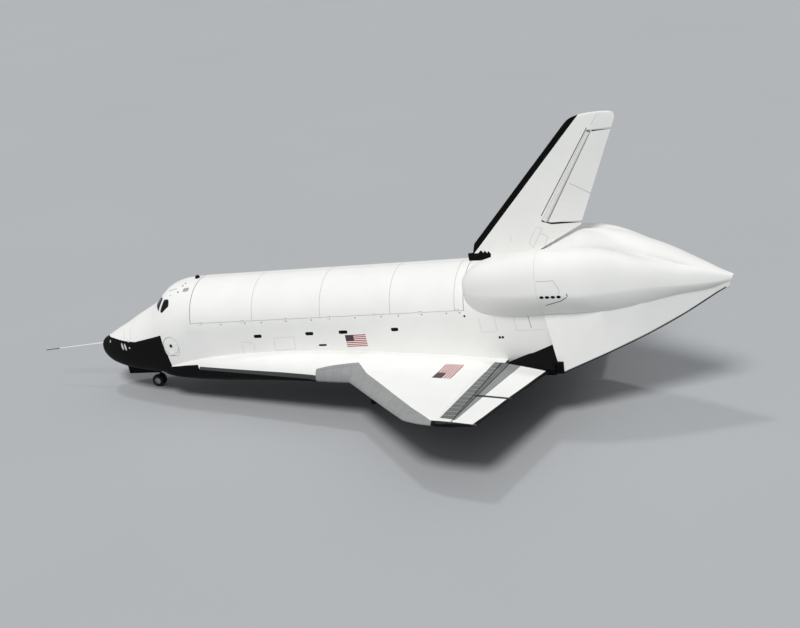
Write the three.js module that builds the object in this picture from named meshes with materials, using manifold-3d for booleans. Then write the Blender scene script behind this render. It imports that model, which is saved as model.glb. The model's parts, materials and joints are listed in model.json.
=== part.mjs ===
// Half-scale space shuttle orbiter with its tail cone fitted, standing on its landing gear.
//
// Places are given as stations in full-size inches, the way airframe drawings give them:
// x runs aft from a point ahead of the nose, y to starboard and z up. One group at the end
// scales the stations to half-size millimetres, pitches the craft nose down to the attitude
// it parks in, and stands it on the ground with its box centred on the origin.

import Module from 'manifold-3d';
import * as THREE from 'three';
import { mergeVertices } from 'three/addons/utils/BufferGeometryUtils.js';

const wasm = await Module();
wasm.setup();

// Scale and attitude

const MM_PER_INCH = 25.4;
const MODEL_SCALE = 0.5;
const PARKED_PITCH = THREE.MathUtils.degToRad(3.5);

// Fits, in full-size inches

const GAP = 0.03; // pieces that rest on each other
const RUNNING = 0.5; // pieces that move past each other
const DEEP = 400; // longer than anything that a cutting block has to pass through

// Body stations

const NOSE_TIP = 238.6;
const NOSE_CAP_END = 262;
const CABIN_END = 582;
const BAY_END = 1307;
const BASE = 1530;
const CONE_TIP = 1895.57186;
const BODY_HALF_WIDTH = 102.5;
const CROWN = 502.5;
const WAIST = 400;

// Solid modelling

function signedVolume(positions, faces) {
  let sixth = 0;
  const corner = [new THREE.Vector3(), new THREE.Vector3(), new THREE.Vector3()];
  for (let face = 0; face < faces.length; face += 3) {
    corner.forEach((point, k) => point.fromArray(positions, faces[face + k] * 3));
    sixth += corner[0].dot(corner[1].clone().cross(corner[2]));
  }
  return sixth / 6;
}

function closed(positions, faces) {
  const outward = signedVolume(positions, faces) > 0;
  const triVerts = new Uint32Array(faces);
  for (let face = 0; face < faces.length && !outward; face += 3) {
    triVerts[face + 1] = faces[face + 2];
    triVerts[face + 2] = faces[face + 1];
  }
  const vertProperties = new Float32Array(positions);
  return new wasm.Manifold(new wasm.Mesh({ numProp: 3, vertProperties, triVerts }));
}

function solid(geometry) {
  const bare = new THREE.BufferGeometry();
  bare.setAttribute('position', geometry.getAttribute('position'));
  bare.setIndex(geometry.getIndex());
  const merged = mergeVertices(bare, 1e-4);
  return closed([...merged.getAttribute('position').array], [...merged.getIndex().array]);
}

// A skin through rings of equal numbers of points, closed by a flat cap at each end. Port and
// starboard quads are split the opposite way, so that a symmetric body has a symmetric skin.
function loft(rings) {
  const count = rings[0].length;
  const last = (rings.length - 1) * count;
  const points = rings.flat();
  const faces = [];
  for (let start = 0; start < last; start += count) {
    for (let k = 0; k < count; k += 1) {
      const a = start + k;
      const b = start + ((k + 1) % count);
      const port = points[a][1] + points[b][1] < 0;
      faces.push(a, b, port ? a + count : b + count, port ? b : a, b + count, a + count);
    }
  }
  for (let k = 1; k + 1 < count; k += 1) {
    faces.push(0, k + 1, k, last, last + k, last + k + 1);
  }
  return closed(points.flat(), faces);
}

function block(x0, x1, y0, y1, z0, z1) {
  const geometry = new THREE.BoxGeometry(x1 - x0, y1 - y0, z1 - z0);
  geometry.translate((x0 + x1) / 2, (y0 + y1) / 2, (z0 + z1) / 2);
  return solid(geometry);
}

const ROUND_SIDES = 12;

// A round bar between two points, tapered if its two radii differ.
function rod(from, to, radius, endRadius = radius, sides = ROUND_SIDES, turn = 0) {
  const start = new THREE.Vector3(...from);
  const span = new THREE.Vector3(...to).sub(start);
  const geometry = new THREE.CylinderGeometry(endRadius, radius, span.length(), sides);
  geometry.rotateY(turn);
  geometry.translate(0, span.length() / 2, 0);
  const up = new THREE.Vector3(0, 1, 0);
  geometry.applyQuaternion(new THREE.Quaternion().setFromUnitVectors(up, span.clone().normalize()));
  geometry.translate(...from);
  return solid(geometry);
}

// The radius that a faceted bore needs for a round piece to turn in it with this much room
function boreRadius(radius, room, sides = ROUND_SIDES) {
  return (radius + room) / Math.cos(Math.PI / sides);
}

// A bore for a pin: its facets face the pin's corners.
function bore(from, to, radius) {
  const wide = boreRadius(radius, GAP);
  return rod(from, to, wide, wide, ROUND_SIDES, Math.PI / ROUND_SIDES);
}

const PLACE_OUTLINE = {
  x: (u, v, w) => [w, u, v],
  y: (u, v, w) => [u, w, v],
  z: (u, v, w) => [u, v, w],
};

// A flat outline given by its two other coordinates, pulled along one axis.
function extrude(outline, axis, from, to) {
  const shape = new THREE.Shape(outline.map(([u, v]) => new THREE.Vector2(u, v)));
  const geometry = new THREE.ExtrudeGeometry(shape, { depth: to - from, bevelEnabled: false });
  const position = geometry.getAttribute('position');
  for (let k = 0; k < position.count; k += 1) {
    const depth = from + position.getZ(k);
    position.setXYZ(k, ...PLACE_OUTLINE[axis](position.getX(k), position.getY(k), depth));
  }
  return solid(geometry);
}

// A closed profile of [radius, offset] pairs turned about an axle that runs across the craft.
function turned(profile, sides, phase, [x, y, z]) {
  const points = profile.map(([radius, offset]) => new THREE.Vector2(radius, offset));
  const geometry = new THREE.LatheGeometry(points, sides);
  geometry.rotateY(phase);
  geometry.translate(x, y, z);
  return solid(geometry);
}

function mirrored(piece) {
  const mesh = piece.getMesh();
  const positions = [...mesh.vertProperties].map((value, k) => (k % 3 === 1 ? -value : value));
  return closed(positions, [...mesh.triVerts]);
}

function joined(pieces) {
  return pieces.reduce((whole, piece) => whole.add(piece));
}

function cut(piece, cutters) {
  return cutters.reduce((rest, cutter) => rest.subtract(cutter), piece);
}

function interpolate(rows, at) {
  const next = Math.max(1, rows.findIndex((row) => row[0] >= at));
  const above = rows[rows.at(-1)[0] < at ? rows.length - 1 : next];
  const below = rows[rows.indexOf(above) - 1];
  const share = (at - below[0]) / (above[0] - below[0]);
  return below.map((value, k) => value + (above[k] - value) * share);
}

// Body sections: each half is a superellipse about the waist

const QUARTER_STEPS = 6;

function bodyRing([x, halfWidth, top, waist, bottom, upperPower, lowerPower], grow, steps) {
  const ring = [];
  for (let k = 0; k < steps * 4; k += 1) {
    const angle = (k * Math.PI) / (steps * 2);
    const upper = k <= steps * 2;
    const power = 2 / (upper ? upperPower : lowerPower);
    const rise = upper ? top - waist : waist - bottom;
    const across = Math.sign(Math.round(Math.cos(angle) * 1e6)) * Math.abs(Math.cos(angle)) ** power;
    const along = Math.sign(Math.sin(angle)) * Math.abs(Math.sin(angle)) ** power;
    ring.push([x, (halfWidth + grow) * across, waist + (rise + grow) * along]);
  }
  return ring;
}

// A body from its table of sections, between two stations, grown or shrunk all round.
function body(sections, from, to, grow = 0, steps = QUARTER_STEPS) {
  const between = sections.filter(([x]) => x > from && x < to);
  const rows = [interpolate(sections, from), ...between, interpolate(sections, to)];
  return loft(rows.map((row) => bodyRing(row, grow, steps)));
}

// x, half width, top, waist, bottom, upper power, lower power
const HULL = [
  [238.6, 5, 342, 336, 331, 2, 2],
  [241, 11, 347.5, 335, 326, 2, 2],
  [247, 20, 354, 333, 319.5, 2, 2],
  [256, 30, 359.5, 331, 310, 2, 2],
  [268, 39, 365, 329, 301, 2, 2.1],
  [285, 49, 373.5, 327, 293, 2, 2.2],
  [305, 57, 383, 326, 287, 2, 2.3],
  [335, 67, 396.5, 326, 282, 2, 2.6],
  [370, 75.5, 414.5, 327, 279.5, 2, 3],
  [405, 83, 430.5, 330, 278, 2, 3.4],
  [437, 89.5, 446, 334, 277, 2.1, 3.8],
  [449, 91.8, 453, 336, 276.7, 2.15, 4],
  [460, 93.5, 463, 338, 276.5, 2.2, 4.2],
  [475, 95.8, 476.5, 341, 276.3, 2.2, 4.5],
  [491, 98, 488, 344, 276.2, 2.2, 4.8],
  [515, 100, 496.5, 352, 276.1, 2.2, 5.3],
  [540, 101.7, 501, 368, 276, 2.1, 6],
  [560, 102.3, 502, 385, 276, 2, 6.5],
  [CABIN_END, BODY_HALF_WIDTH, CROWN, WAIST, 276, 2, 7],
  [900, BODY_HALF_WIDTH, CROWN, WAIST, 273, 2, 7],
  [BAY_END, BODY_HALF_WIDTH, CROWN, WAIST, 268, 2, 7],
  [1400, 104, CROWN, WAIST, 269, 2, 7],
  [BASE, 104, CROWN, WAIST, 272, 2, 7],
];

function hull(from, to, grow = 0) {
  return body(HULL, from, to, grow);
}

// Nose and air data boom

const BOOM_TIP = [46, 0, 326.4];
const BOOM_ROOT = [252, 0, 341.2];
const BOOM_RADIUS = 1.9;
const BOOM_TIP_RADIUS = 1.1;

function noseCap() {
  return hull(NOSE_TIP, NOSE_CAP_END - GAP);
}

function airDataBoom() {
  const mast = rod(BOOM_TIP, BOOM_ROOT, BOOM_TIP_RADIUS, BOOM_RADIUS, 12);
  return mast.subtract(hull(NOSE_TIP - GAP, NOSE_CAP_END, GAP));
}

// Forward fuselage: crew cabin, windows, hatch opening and nose wheel well

const CABIN = { front: 410, back: 574, floor: 324, wall: 5 };
const NOSE_WELL = { front: 305, back: 405, halfWidth: 19.5, roof: 316 };
const THRUSTER_MODULE = { front: 297, back: 376, halfWidth: 50, bottom: 350 };
const HATCH = { x: 509.5, z: 363, radius: 23, rim: 102, taper: 0.1 };
const HATCH_HINGE = { y: -101.3, z: 340.2, radius: 0.9, halfLength: 6.5 };

// Port windows: corners on the skin and the way each faces
const WINDOWS = {
  windshield_center: {
    corners: [[450, -3, 453.7], [455, -29, 453.7], [471, -25, 469.9], [468, -3, 470.4]],
    facing: [-0.7, -0.1, 0.7],
  },
  windshield_middle: {
    corners: [[458, -35, 454.4], [479, -69.5, 443.6], [488.3, -50, 470.6], [473, -30, 470]],
    facing: [-0.6, -0.4, 0.7],
  },
  windshield_side: {
    corners: [
      [484.6, -72.3, 443.5],
      [492.5, -76.5, 441.8],
      [514.7, -72.5, 457.8],
      [513.2, -63.5, 468.5],
      [508.8, -58.7, 471.9],
      [494.4, -54.5, 470],
    ],
    facing: [-0.3, -0.75, 0.6],
  },
};

// Panels in the cabin roof that the crew can leave through, corners on the port one's skin
const ESCAPE_PANEL = {
  corners: [[504, -9, 493], [504, -37, 485.5], [530, -37, 492], [530, -9, 499.4]],
  facing: [0, -0.1, 1],
};

function windowPrism({ corners, facing }, shrink) {
  const centre = [0, 1, 2].map((k) => corners.reduce((sum, p) => sum + p[k], 0) / corners.length);
  const rim = corners.map((corner) => {
    const arm = new THREE.Vector3(...corner.map((value, k) => value - centre[k]));
    const length = arm.length();
    return arm.multiplyScalar((length - shrink) / length).add(new THREE.Vector3(...centre));
  });
  const reach = (distance) => rim.map((point) => (
    point.clone().addScaledVector(new THREE.Vector3(...facing), distance).toArray()
  ));
  return loft([reach(-14), reach(9)]);
}

function windowPane(opening) {
  const outer = hull(430, 560, -0.6);
  const inner = hull(429, 561, -2.6);
  return windowPrism(opening, GAP * 2).intersect(outer.subtract(inner));
}

function escapePanel() {
  const wall = hull(480, 560).subtract(hull(479, 561, -CABIN.wall));
  return windowPrism(ESCAPE_PANEL, GAP * 2).intersect(wall);
}

function hatchHole() {
  const { x, z, radius } = HATCH;
  return rod([x, -DEEP / 3, z], [x, -BODY_HALF_WIDTH / 2, z], radius, radius, 28);
}

// Feet that a carrier's struts take hold of: x, y and z of the middle of the sole
const FORWARD_PAD = [418, 0, 272];
const AFT_PAD = [1318, 76, 263];
const PAD_HALF_WIDTH = 6;
const PAD_HEIGHT = 10;

function carrierPad(x, y, z) {
  const half = PAD_HALF_WIDTH;
  return block(x - half, x + half, y - half, y + half, z, z + PAD_HEIGHT);
}

function forwardFuselage() {
  const { front, back, floor, wall } = CABIN;
  const cabin = hull(front, back, -wall).subtract(block(front - 1, back + 1, -DEEP, DEEP, 0, floor));
  const well = NOSE_WELL;
  const wheelWell = block(well.front, well.back, -well.halfWidth, well.halfWidth, 0, well.roof);
  const openings = [...Object.values(WINDOWS), ESCAPE_PANEL];
  const port = openings.map((opening) => windowPrism(opening, 0));
  const ears = [-1, 1].map((end) => {
    const inner = HATCH.x + end * (HATCH_HINGE.halfLength + GAP);
    const outer = inner + end * 1.5;
    const [low, high] = [HATCH_HINGE.z - 1.6, HATCH_HINGE.z + HATCH_HINGE.radius];
    return block(Math.min(inner, outer), Math.max(inner, outer), -102.5, -97, low, high);
  });
  const shell = cut(hull(NOSE_CAP_END, CABIN_END), [
    cabin,
    wheelWell,
    thrusterBay(GAP),
    hatchHole(),
    ...port,
    ...port.map(mirrored),
  ]);
  return joined([shell, carrierPad(...FORWARD_PAD), ...ears]);
}

function thrusterBay(grow) {
  const { front, back, halfWidth, bottom } = THRUSTER_MODULE;
  const side = halfWidth + grow;
  return block(front - grow, back + grow, -side, side, bottom - grow, DEEP * 2);
}

function forwardThrusterModule() {
  return hull(NOSE_CAP_END, CABIN_END).intersect(thrusterBay(0));
}

// A plug that is wider outside than inside, so that its edge swings clear of the opening.
function hatchPlug() {
  const { x, z, radius, rim, taper } = HATCH;
  const [inner, outer] = [BODY_HALF_WIDTH / 2, DEEP / 3];
  const radiusAt = (reach) => radius - RUNNING + taper * (reach - rim);
  return rod([x, -outer, z], [x, -inner, z], radiusAt(outer), radiusAt(inner), 28);
}

function sideHatch() {
  const wall = hull(470, 550).subtract(hull(469, 551, -CABIN.wall));
  const disc = wall.intersect(hatchPlug());
  const { y, z, radius, halfLength } = HATCH_HINGE;
  const barrel = rod([HATCH.x - halfLength, y, z], [HATCH.x + halfLength, y, z], radius);
  const web = block(HATCH.x - 4, HATCH.x + 4, y - radius, -97.5, z + 0.4, z + 6);
  return joined([disc, barrel, web]).subtract(hatchWindowPort(0));
}

const HATCH_WINDOW_RADIUS = 5;

function hatchWindowPort(shrink) {
  const radius = HATCH_WINDOW_RADIUS - shrink;
  return rod([HATCH.x, -DEEP / 3, HATCH.z], [HATCH.x, -BODY_HALF_WIDTH / 2, HATCH.z], radius, radius, 20);
}

function hatchWindow() {
  const glass = hull(470, 550, -0.8).subtract(hull(469, 551, -2.8));
  return glass.intersect(hatchWindowPort(GAP * 1.5));
}

const FLIGHT_DECK = { front: 432, back: 566, top: 418, thickness: 4 };

function flightDeckFloor() {
  const { front, back, top, thickness } = FLIGHT_DECK;
  const plate = block(front, back, -DEEP, DEEP, top - thickness, top);
  const ladderWell = block(528, 556, -64, -34, 0, DEEP * 2);
  return plate.intersect(hull(CABIN.front, CABIN.back, -CABIN.wall - GAP)).subtract(ladderWell);
}

function instrumentPanel() {
  const floor = FLIGHT_DECK.top + GAP;
  return extrude([[449, floor], [469, floor], [465, 437], [457, 437]], 'y', -40, 40);
}

function crewSeat() {
  const floor = FLIGHT_DECK.top + GAP;
  const side = [[489, floor], [508, floor], [514, 466], [508, 466], [503, 433], [489, 433]];
  return extrude(side, 'y', -34, -14);
}

// Mid fuselage: an open trough with the payload bay in it

const BAY = { front: 592, back: 1298, radius: 93, sill: 419.3 };

// Places of the hinges along the sill, shared by both doors
const DOOR_HINGE = { y: 101.9, z: 419.5, radius: 1, knuckle: 2.4, ear: 1.8 };
const DOOR_HINGE_STATIONS = [612, 729, 846, 963, 1080, 1197, 1290];

function doorHingeEar(x) {
  const { y, z, radius, knuckle, ear } = DOOR_HINGE;
  const ears = [-1, 1].map((end) => {
    const inner = x + end * (knuckle / 2 + GAP);
    const outer = inner + end * ear;
    const bracket = [
      [y - 4.5, z - 6],
      [y - 0.4, z - 6],
      [y + radius, z - 1.6],
      [y + radius, z + radius],
      [y - radius, z + radius],
      [y - radius, z - 0.3],
      [y - 4.5, z - 0.3],
    ];
    return extrude(bracket, 'x', Math.min(inner, outer), Math.max(inner, outer));
  });
  return joined(ears);
}

function midFuselage() {
  const { front, back, radius, sill } = BAY;
  const trough = joined([
    rod([front, 0, WAIST], [back, 0, WAIST], radius, radius, 24),
    block(front, back, -radius, radius, WAIST, DEEP * 2),
  ]);
  const above = block(CABIN_END, BAY_END, -DEEP, DEEP, sill, DEEP * 2);
  const shell = cut(hull(CABIN_END + GAP, BAY_END), [trough, above]);
  const ears = DOOR_HINGE_STATIONS.map(doorHingeEar);
  return joined([shell, ...ears, ...ears.map(mirrored)]);
}

const BAY_DOOR = { front: 584, back: 1305.4, skin: 6, lower: 420, seam: 0.3 };

function payloadDoor() {
  const { front, back, skin, lower, seam } = BAY_DOOR;
  const { y, z, radius, knuckle, ear } = DOOR_HINGE;
  const shell = cut(hull(front, back), [
    rod([front - 1, 0, WAIST], [back + 1, 0, WAIST], BODY_HALF_WIDTH - skin, BODY_HALF_WIDTH - skin, 24),
    block(front - 1, back + 1, -DEEP, DEEP, 0, lower),
    block(front - 1, back + 1, -DEEP, seam, 0, DEEP * 2),
  ]);
  const reach = knuckle / 2 + ear + RUNNING;
  const notches = DOOR_HINGE_STATIONS.map((x) => block(x - reach, x + reach, y - 9, y + 9, 0, z + 3));
  const arms = DOOR_HINGE_STATIONS.map((x) => joined([
    rod([x - knuckle / 2, y, z], [x + knuckle / 2, y, z], radius, radius, 8),
    extrude([
      [y - 0.8, z - 0.5],
      [y, z + 0.9],
      [y - 2.2, z + 5],
      [y - 6, z + 5],
      [y - 3.5, z + 1.5],
    ], 'x', x - knuckle / 2, x + knuckle / 2),
  ]));
  return joined([cut(shell, notches), ...arms]);
}

// Tail cone joint: the seam that parts the cone from the body, seen from the side

const SEAM = [[1500, 640], [1500, 430], [1494, 404], [1515, 299], [1532, 200]];

function behindSeam(gap) {
  const outline = SEAM.map(([x, z]) => [x + gap, z]);
  return extrude([...outline, [CONE_TIP + 50, 200], [CONE_TIP + 50, 640]], 'y', -DEEP, DEEP);
}

// Aft fuselage with the fairings inboard of the elevons

const FIN_FOOT = { front: [1466, 516], back: [1579, 570] };

// x, then the top, outer, outer foot and inner foot corners of the fairing as y and z
const ELEVON_FAIRING = [
  [1391, [100, 290], [124, 288], [124, 271], [100, 271]],
  [1512, [100, 338], [146, 287], [141, 272], [100, 272]],
];
const BASE_STUB = { front: 1505, back: BASE, inner: 95, outer: 137, bottom: 273.5, top: 299 };

const AFT_WALL = 8;
const ENGINE = { front: 1400, back: 1565, halfWidth: 62, bottom: 300, top: 450 };

// A shell that is open behind, where the cone covers it, with a pad for the engines.
function aftFuselage() {
  const fairing = loft(ELEVON_FAIRING.map(([x, ...corners]) => corners.map(([y, z]) => [x, y, z])));
  const { front, back, inner, outer, bottom, top } = BASE_STUB;
  const stub = block(front, back, inner, outer, bottom, top);
  const shell = cut(joined([hull(BAY_END + GAP, BASE), body(HUMP, 1440, 1502)]), [
    hull(BAY_END + AFT_WALL, BASE + 10, -AFT_WALL),
    behindSeam(0),
  ]);
  const bed = block(ENGINE.front, 1480, -ENGINE.halfWidth, ENGINE.halfWidth, 275, ENGINE.bottom - GAP);
  const flared = cut(joined([fairing, stub]), [
    coneBody(GAP).intersect(behindSeam(-GAP)),
    hull(1380, 1550, -2),
  ]);
  const foot = carrierPad(...AFT_PAD);
  return joined([shell, bed, flared, mirrored(flared), foot, mirrored(foot)]);
}

// Orbital manoeuvring pods and the tail cone behind them

// x, centre y, half width, top, waist, bottom
const POD = [
  [1307, 70, 4, 476, 462, 450],
  [1309, 72, 20, 488, 461, 428],
  [1314, 74, 28, 496, 460.5, 408],
  [1322, 75.5, 33.5, 503, 461, 398],
  [1332, 77, 38, 512, 462, 390],
  [1357, 81, 45, 523, 462, 389],
  [1408, 85, 53, 533.5, 462, 389],
  [1456, 87, 55.5, 541, 462.5, 390.5],
  [1500, 87.5, 55.5, 544, 462, 392.7],
  [1546, 85, 55, 544.5, 459, 391.6],
  [1584, 81, 52.5, 543, 452, 390],
  [1625, 74, 47.5, 538, 450, 382],
  [1670, 64, 41, 526, 448, 383],
  [1708, 54, 37, 511, 446, 387],
  [1751, 42, 30, 494, 441, 396],
  [1787, 31, 24, 479, 435, 403],
  [1836, 17, 15, 459, 429, 408],
  [1870, 8, 8, 444, 426, 415],
  [CONE_TIP, 3, 3, 433, 428, 418],
];

// Full above the waist, drawn in towards a keel below it
const POD_POWERS = [2.4, 1.4];

function pod(from, to, grow = 0, steps = 5) {
  const rows = [interpolate(POD, from), ...POD.filter(([x]) => x > from && x < to), interpolate(POD, to)];
  return loft(rows.map(([x, y, ...shape]) => {
    const ring = bodyRing([x, ...shape, ...POD_POWERS], grow, steps);
    return ring.map(([px, py, pz]) => [px, py + y, pz]);
  }));
}

function omsPod() {
  return cut(pod(1308, 1510), [hull(1300, BASE, GAP), body(HUMP, 1430, 1520, GAP), behindSeam(0)]);
}

// x, half width, top, waist, bottom, upper power, lower power
const HUMP = [
  [1440, 22, 503.5, 500, 430, 2, 3],
  [1500, 35, 526, 504, 430, 2, 3],
  [1540, 37, 543, 515, 430, 2, 3],
  [1581, 38, 557, 525, 430, 2, 3],
  [1615, 38, 557, 525, 430, 2, 3],
  [1660, 37, 548, 519, 430, 2, 3],
  [1746, 34, 514, 493, 430, 2, 3],
  [1829, 21, 470, 458, 428, 2, 3],
  [CONE_TIP, 5, 431, 427, 421, 2, 3],
];

// x, shoulder half width, top, shoulder height, chine half width, bottom
const CONE = [
  [1490, 104, 502, 404, 124, 272],
  [1530, 104, 502, 405, 134, 273.5],
  [1625, 97, 498, 409, 98, 305],
  [1708, 74, 476, 414, 64, 332.5],
  [1787, 42, 450, 418, 34, 365],
  [1860, 13, 434, 423, 8, 400.5],
  [CONE_TIP, 4, 430, 425, 4, 411],
];

function coneBody(grow) {
  return loft(CONE.map(([x, shoulder, top, height, chine, bottom]) => {
    const half = [0, 1, 2, 3, 4].map((k) => {
      const angle = (k * Math.PI) / 10;
      return [(shoulder + grow) * Math.cos(angle), height + (top - height + grow) * Math.sin(angle)];
    });
    const side = [[chine + grow, bottom + 4], [chine - 4, bottom - grow]];
    const starboard = [...side.reverse(), ...half];
    const port = starboard.map(([y, z]) => [-y, z]).reverse();
    return [...starboard, [0, top + grow], ...port].map(([y, z]) => [x, y, z]);
  }));
}

// The cone ends in a blunt face that slopes forward and down.
function pastTip() {
  const outline = [[CONE_TIP, 431], [1884, 404], [1864, 380], [2000, 380], [2000, 431]];
  return extrude(outline, 'y', -DEEP, DEEP);
}

const CONE_WALL = 8;
const CONE_HOLLOW_END = 1800;

// A shell that is open in front, where it meets the body.
function tailCone() {
  const lobe = pod(1490, CONE_TIP);
  const outside = joined([coneBody(0), lobe, mirrored(lobe), body(HUMP, 1490, CONE_TIP)]);
  const hollowLobe = pod(1480, CONE_HOLLOW_END, -CONE_WALL, 3);
  const hollow = [
    coneBody(-CONE_WALL).intersect(block(1400, CONE_HOLLOW_END, -DEEP, DEEP, 0, DEEP * 2)),
    hollowLobe,
    mirrored(hollowLobe),
  ];
  return cut(outside.intersect(behindSeam(GAP)), [...hollow, pastTip()]);
}

function engineBlock() {
  const { front, back, halfWidth, bottom, top } = ENGINE;
  return block(front, back, -halfWidth, halfWidth, bottom, top);
}

// Wing: a spanwise loft whose sections carry the elevon hinge line

const ELEVON = { hinge: 1387, root: 125, split: 312.5, tip: 459, gap: 1.2 };
const DIHEDRAL_RISE = 0.0575;
const HINGE_HEIGHT_AT_ROOT = 288.3;
const TIP_SPAN = 468.3;

// span station, leading edge x, leading edge height, greatest rise of the upper skin
const WING_PLAN = [
  [84, 456, 291, 50],
  [99, 479, 291, 50],
  [105, 500, 291, 50],
  [121, 600, 291, 48],
  [145, 752, 291.5, 43],
  [188, 1024, 293, 26],
  [230, 1066, 295, 23],
  [312.5, 1148.5, 299, 15.5],
  [370, 1206, 302, 12],
  [424, 1262, 304.5, 9],
  [440, 1292, 305.5, 7],
  [452, 1327, 306, 6],
  [459, 1358, 306.5, 5],
];

// span station, leading edge x, leading edge height, rise, trailing edge height, depth
const WING_TIP = [
  [464, 1392, 307.5, 2.6, 309, 2],
  [TIP_SPAN, 1429, 308.5, 0.8, 309.5, 0.8],
];

function trailingEdge(span) {
  return 1525.2 - 0.1773 * span;
}

function hingeHeight(span) {
  return HINGE_HEIGHT_AT_ROOT + DIHEDRAL_RISE * (span - ELEVON.root);
}

function noseRadius(span) {
  return 10.2 - 0.018 * (span - ELEVON.root);
}

// Height share of the skin along the chord, 1 at a third of it and 0 at both edges.
function camber(share) {
  return 2.598 * Math.sqrt(share) * (1 - share);
}

// The section at a span station: at the hinge its two skins lie a nose radius off the line.
function wingSection([span, edge, edgeHeight, rise]) {
  const share = (ELEVON.hinge - edge) / (trailingEdge(span) - edge);
  const chordHeight = hingeHeight(span) + noseRadius(span) - rise * camber(share);
  const trailingHeight = edgeHeight + (chordHeight - edgeHeight) / share;
  const depth = (2 * noseRadius(span)) / camber(share) - rise;
  return [span, edge, edgeHeight, rise, trailingHeight, depth];
}

const CHORD_STEPS = 10;

function wingRing([span, edge, edgeHeight, rise, trailingHeight, depth]) {
  const chord = trailingEdge(span) - edge;
  const place = (k, height) => {
    const share = (1 - Math.cos((Math.PI * k) / CHORD_STEPS)) / 2;
    const line = edgeHeight + (trailingHeight - edgeHeight) * share;
    const blunt = Math.sign(height) * 0.3 * share;
    return [edge + chord * share, span, line + height * camber(share) + blunt];
  };
  const steps = [...Array(CHORD_STEPS + 1).keys()];
  const upper = steps.map((k) => place(k, rise));
  const lower = steps.slice(1).map((k) => place(k, -depth));
  return [...upper, ...lower.reverse()];
}

const WHOLE_WING = loft([...WING_PLAN.map(wingSection), ...WING_TIP].map(wingRing));

// A slab over part of the span whose floor and roof follow the hinge line.
function hingeSlab(from, to, frontAt, backAt, floorAt, roofAt) {
  const section = (span) => {
    const line = hingeHeight(span);
    return [
      [frontAt(span), span, line + floorAt(span)],
      [backAt(span), span, line + floorAt(span)],
      [backAt(span), span, line + roofAt(span)],
      [frontAt(span), span, line + roofAt(span)],
    ];
  };
  return loft([section(from), section(to)]);
}

function hingePoint(span) {
  return [ELEVON.hinge, span, hingeHeight(span)];
}

const ROLL_SIDES = 20;

function hingeRoll(from, to, radiusAt) {
  return rod(hingePoint(from), hingePoint(to), radiusAt(from), radiusAt(to), ROLL_SIDES);
}

const PANEL_FRONT = 1351; // front edge of the seal panels over the elevon hinge
const UPPER_LIP = 0.62; // how far ahead of the hinge the upper and lower skins end, in nose radii
const LOWER_LIP = 0.42;

function elevonBay() {
  const from = ELEVON.root - 0.9;
  const to = ELEVON.tip;
  const aft = () => trailingEdge(0) + 50;
  return joined([
    hingeRoll(from, to, (span) => boreRadius(noseRadius(span), RUNNING, ROLL_SIDES)),
    hingeSlab(from, to, (y) => ELEVON.hinge - UPPER_LIP * noseRadius(y), aft, () => 0, () => 60),
    hingeSlab(from, to, (y) => ELEVON.hinge - LOWER_LIP * noseRadius(y), aft, () => -60, () => 0),
  ]);
}

function sealStrip(grow) {
  const front = () => PANEL_FRONT - grow;
  const back = () => ELEVON.hinge + 10;
  const floor = (y) => noseRadius(y) - 1.2 - grow;
  return hingeSlab(ELEVON.root - grow, ELEVON.tip + grow, front, back, floor, () => 60);
}

function elevonSeal() {
  return WHOLE_WING.intersect(sealStrip(0)).subtract(elevonBay());
}

// Front band of the wing, in plan, from the glove to the tip
const EDGE_BAND = [
  [937, 165], [1047, 159], [1160, 272], [1272, 385], [1345, 452], [1380, 500], [1300, 520], [900, 300],
];

function leadingEdgeBand(grow) {
  return extrude(EDGE_BAND.map(([x, y], k) => [x + (k > 0 ? grow : -grow), y - grow]), 'z', 200, 400);
}

const HINGE_LUG = { width: 2.4, radius: 2.5, pin: 1 };
const HINGE_LUG_SPANS = [[145, 218, 292], [332, 440]];

function besideLug(span) {
  const half = HINGE_LUG.width / 2 + RUNNING * 2;
  return [hingePoint(span - half), hingePoint(span + half)];
}

function hingeLug(span) {
  const half = HINGE_LUG.width / 2;
  const eye = rod(hingePoint(span - half), hingePoint(span + half), HINGE_LUG.radius);
  const x = ELEVON.hinge;
  const z = hingeHeight(span);
  const arm = block(x - 18, x, span - half, span + half, z - 2.2, z + 2.2);
  return joined([eye, arm]).subtract(bore(...besideLug(span), HINGE_LUG.pin));
}

const MAIN_WELL = { front: 1056, back: 1200, inner: 108, outer: 162, roof: 309 };

function wing() {
  const well = MAIN_WELL;
  const tailless = block(ELEVON.hinge + 3.5, 1600, 0, ELEVON.root, 200, 400);
  const base = cut(WHOLE_WING, [
    hull(440, BASE, GAP),
    elevonBay(),
    tailless,
    sealStrip(GAP),
    leadingEdgeBand(GAP),
    block(well.front, well.back, well.inner, well.outer, 200, well.roof),
  ]);
  return joined([base, ...HINGE_LUG_SPANS.flat().map(hingeLug)]);
}

function wingLeadingEdge() {
  return WHOLE_WING.intersect(leadingEdgeBand(0));
}

// How far outboard the inboard elevon starts, at a station, to clear the body fairing
function elevonRoot() {
  const slope = (146 - 124) / (1512 - 1391);
  const edge = ELEVON.root + 0.7;
  const outline = [[1300, 0], [1300, edge], [1391, edge], [1560, edge + 169 * slope], [1560, 0]];
  return extrude(outline, 'z', 200, 400);
}

function elevon(from, to, lugs) {
  const aft = hingeSlab(from, to, () => ELEVON.hinge, () => 1600, () => -60, () => 60);
  const leaf = joined([WHOLE_WING.intersect(aft), hingeRoll(from, to, (span) => noseRadius(span) - 0.05)]);
  const half = HINGE_LUG.width / 2 + RUNNING;
  const slots = lugs.map((span) => block(
    ELEVON.hinge - 20, ELEVON.hinge + HINGE_LUG.radius + RUNNING, span - half, span + half, 200, 400,
  ));
  const pins = lugs.map((span) => rod(...besideLug(span), HINGE_LUG.pin));
  return joined([cut(leaf, slots), ...pins]);
}

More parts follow.
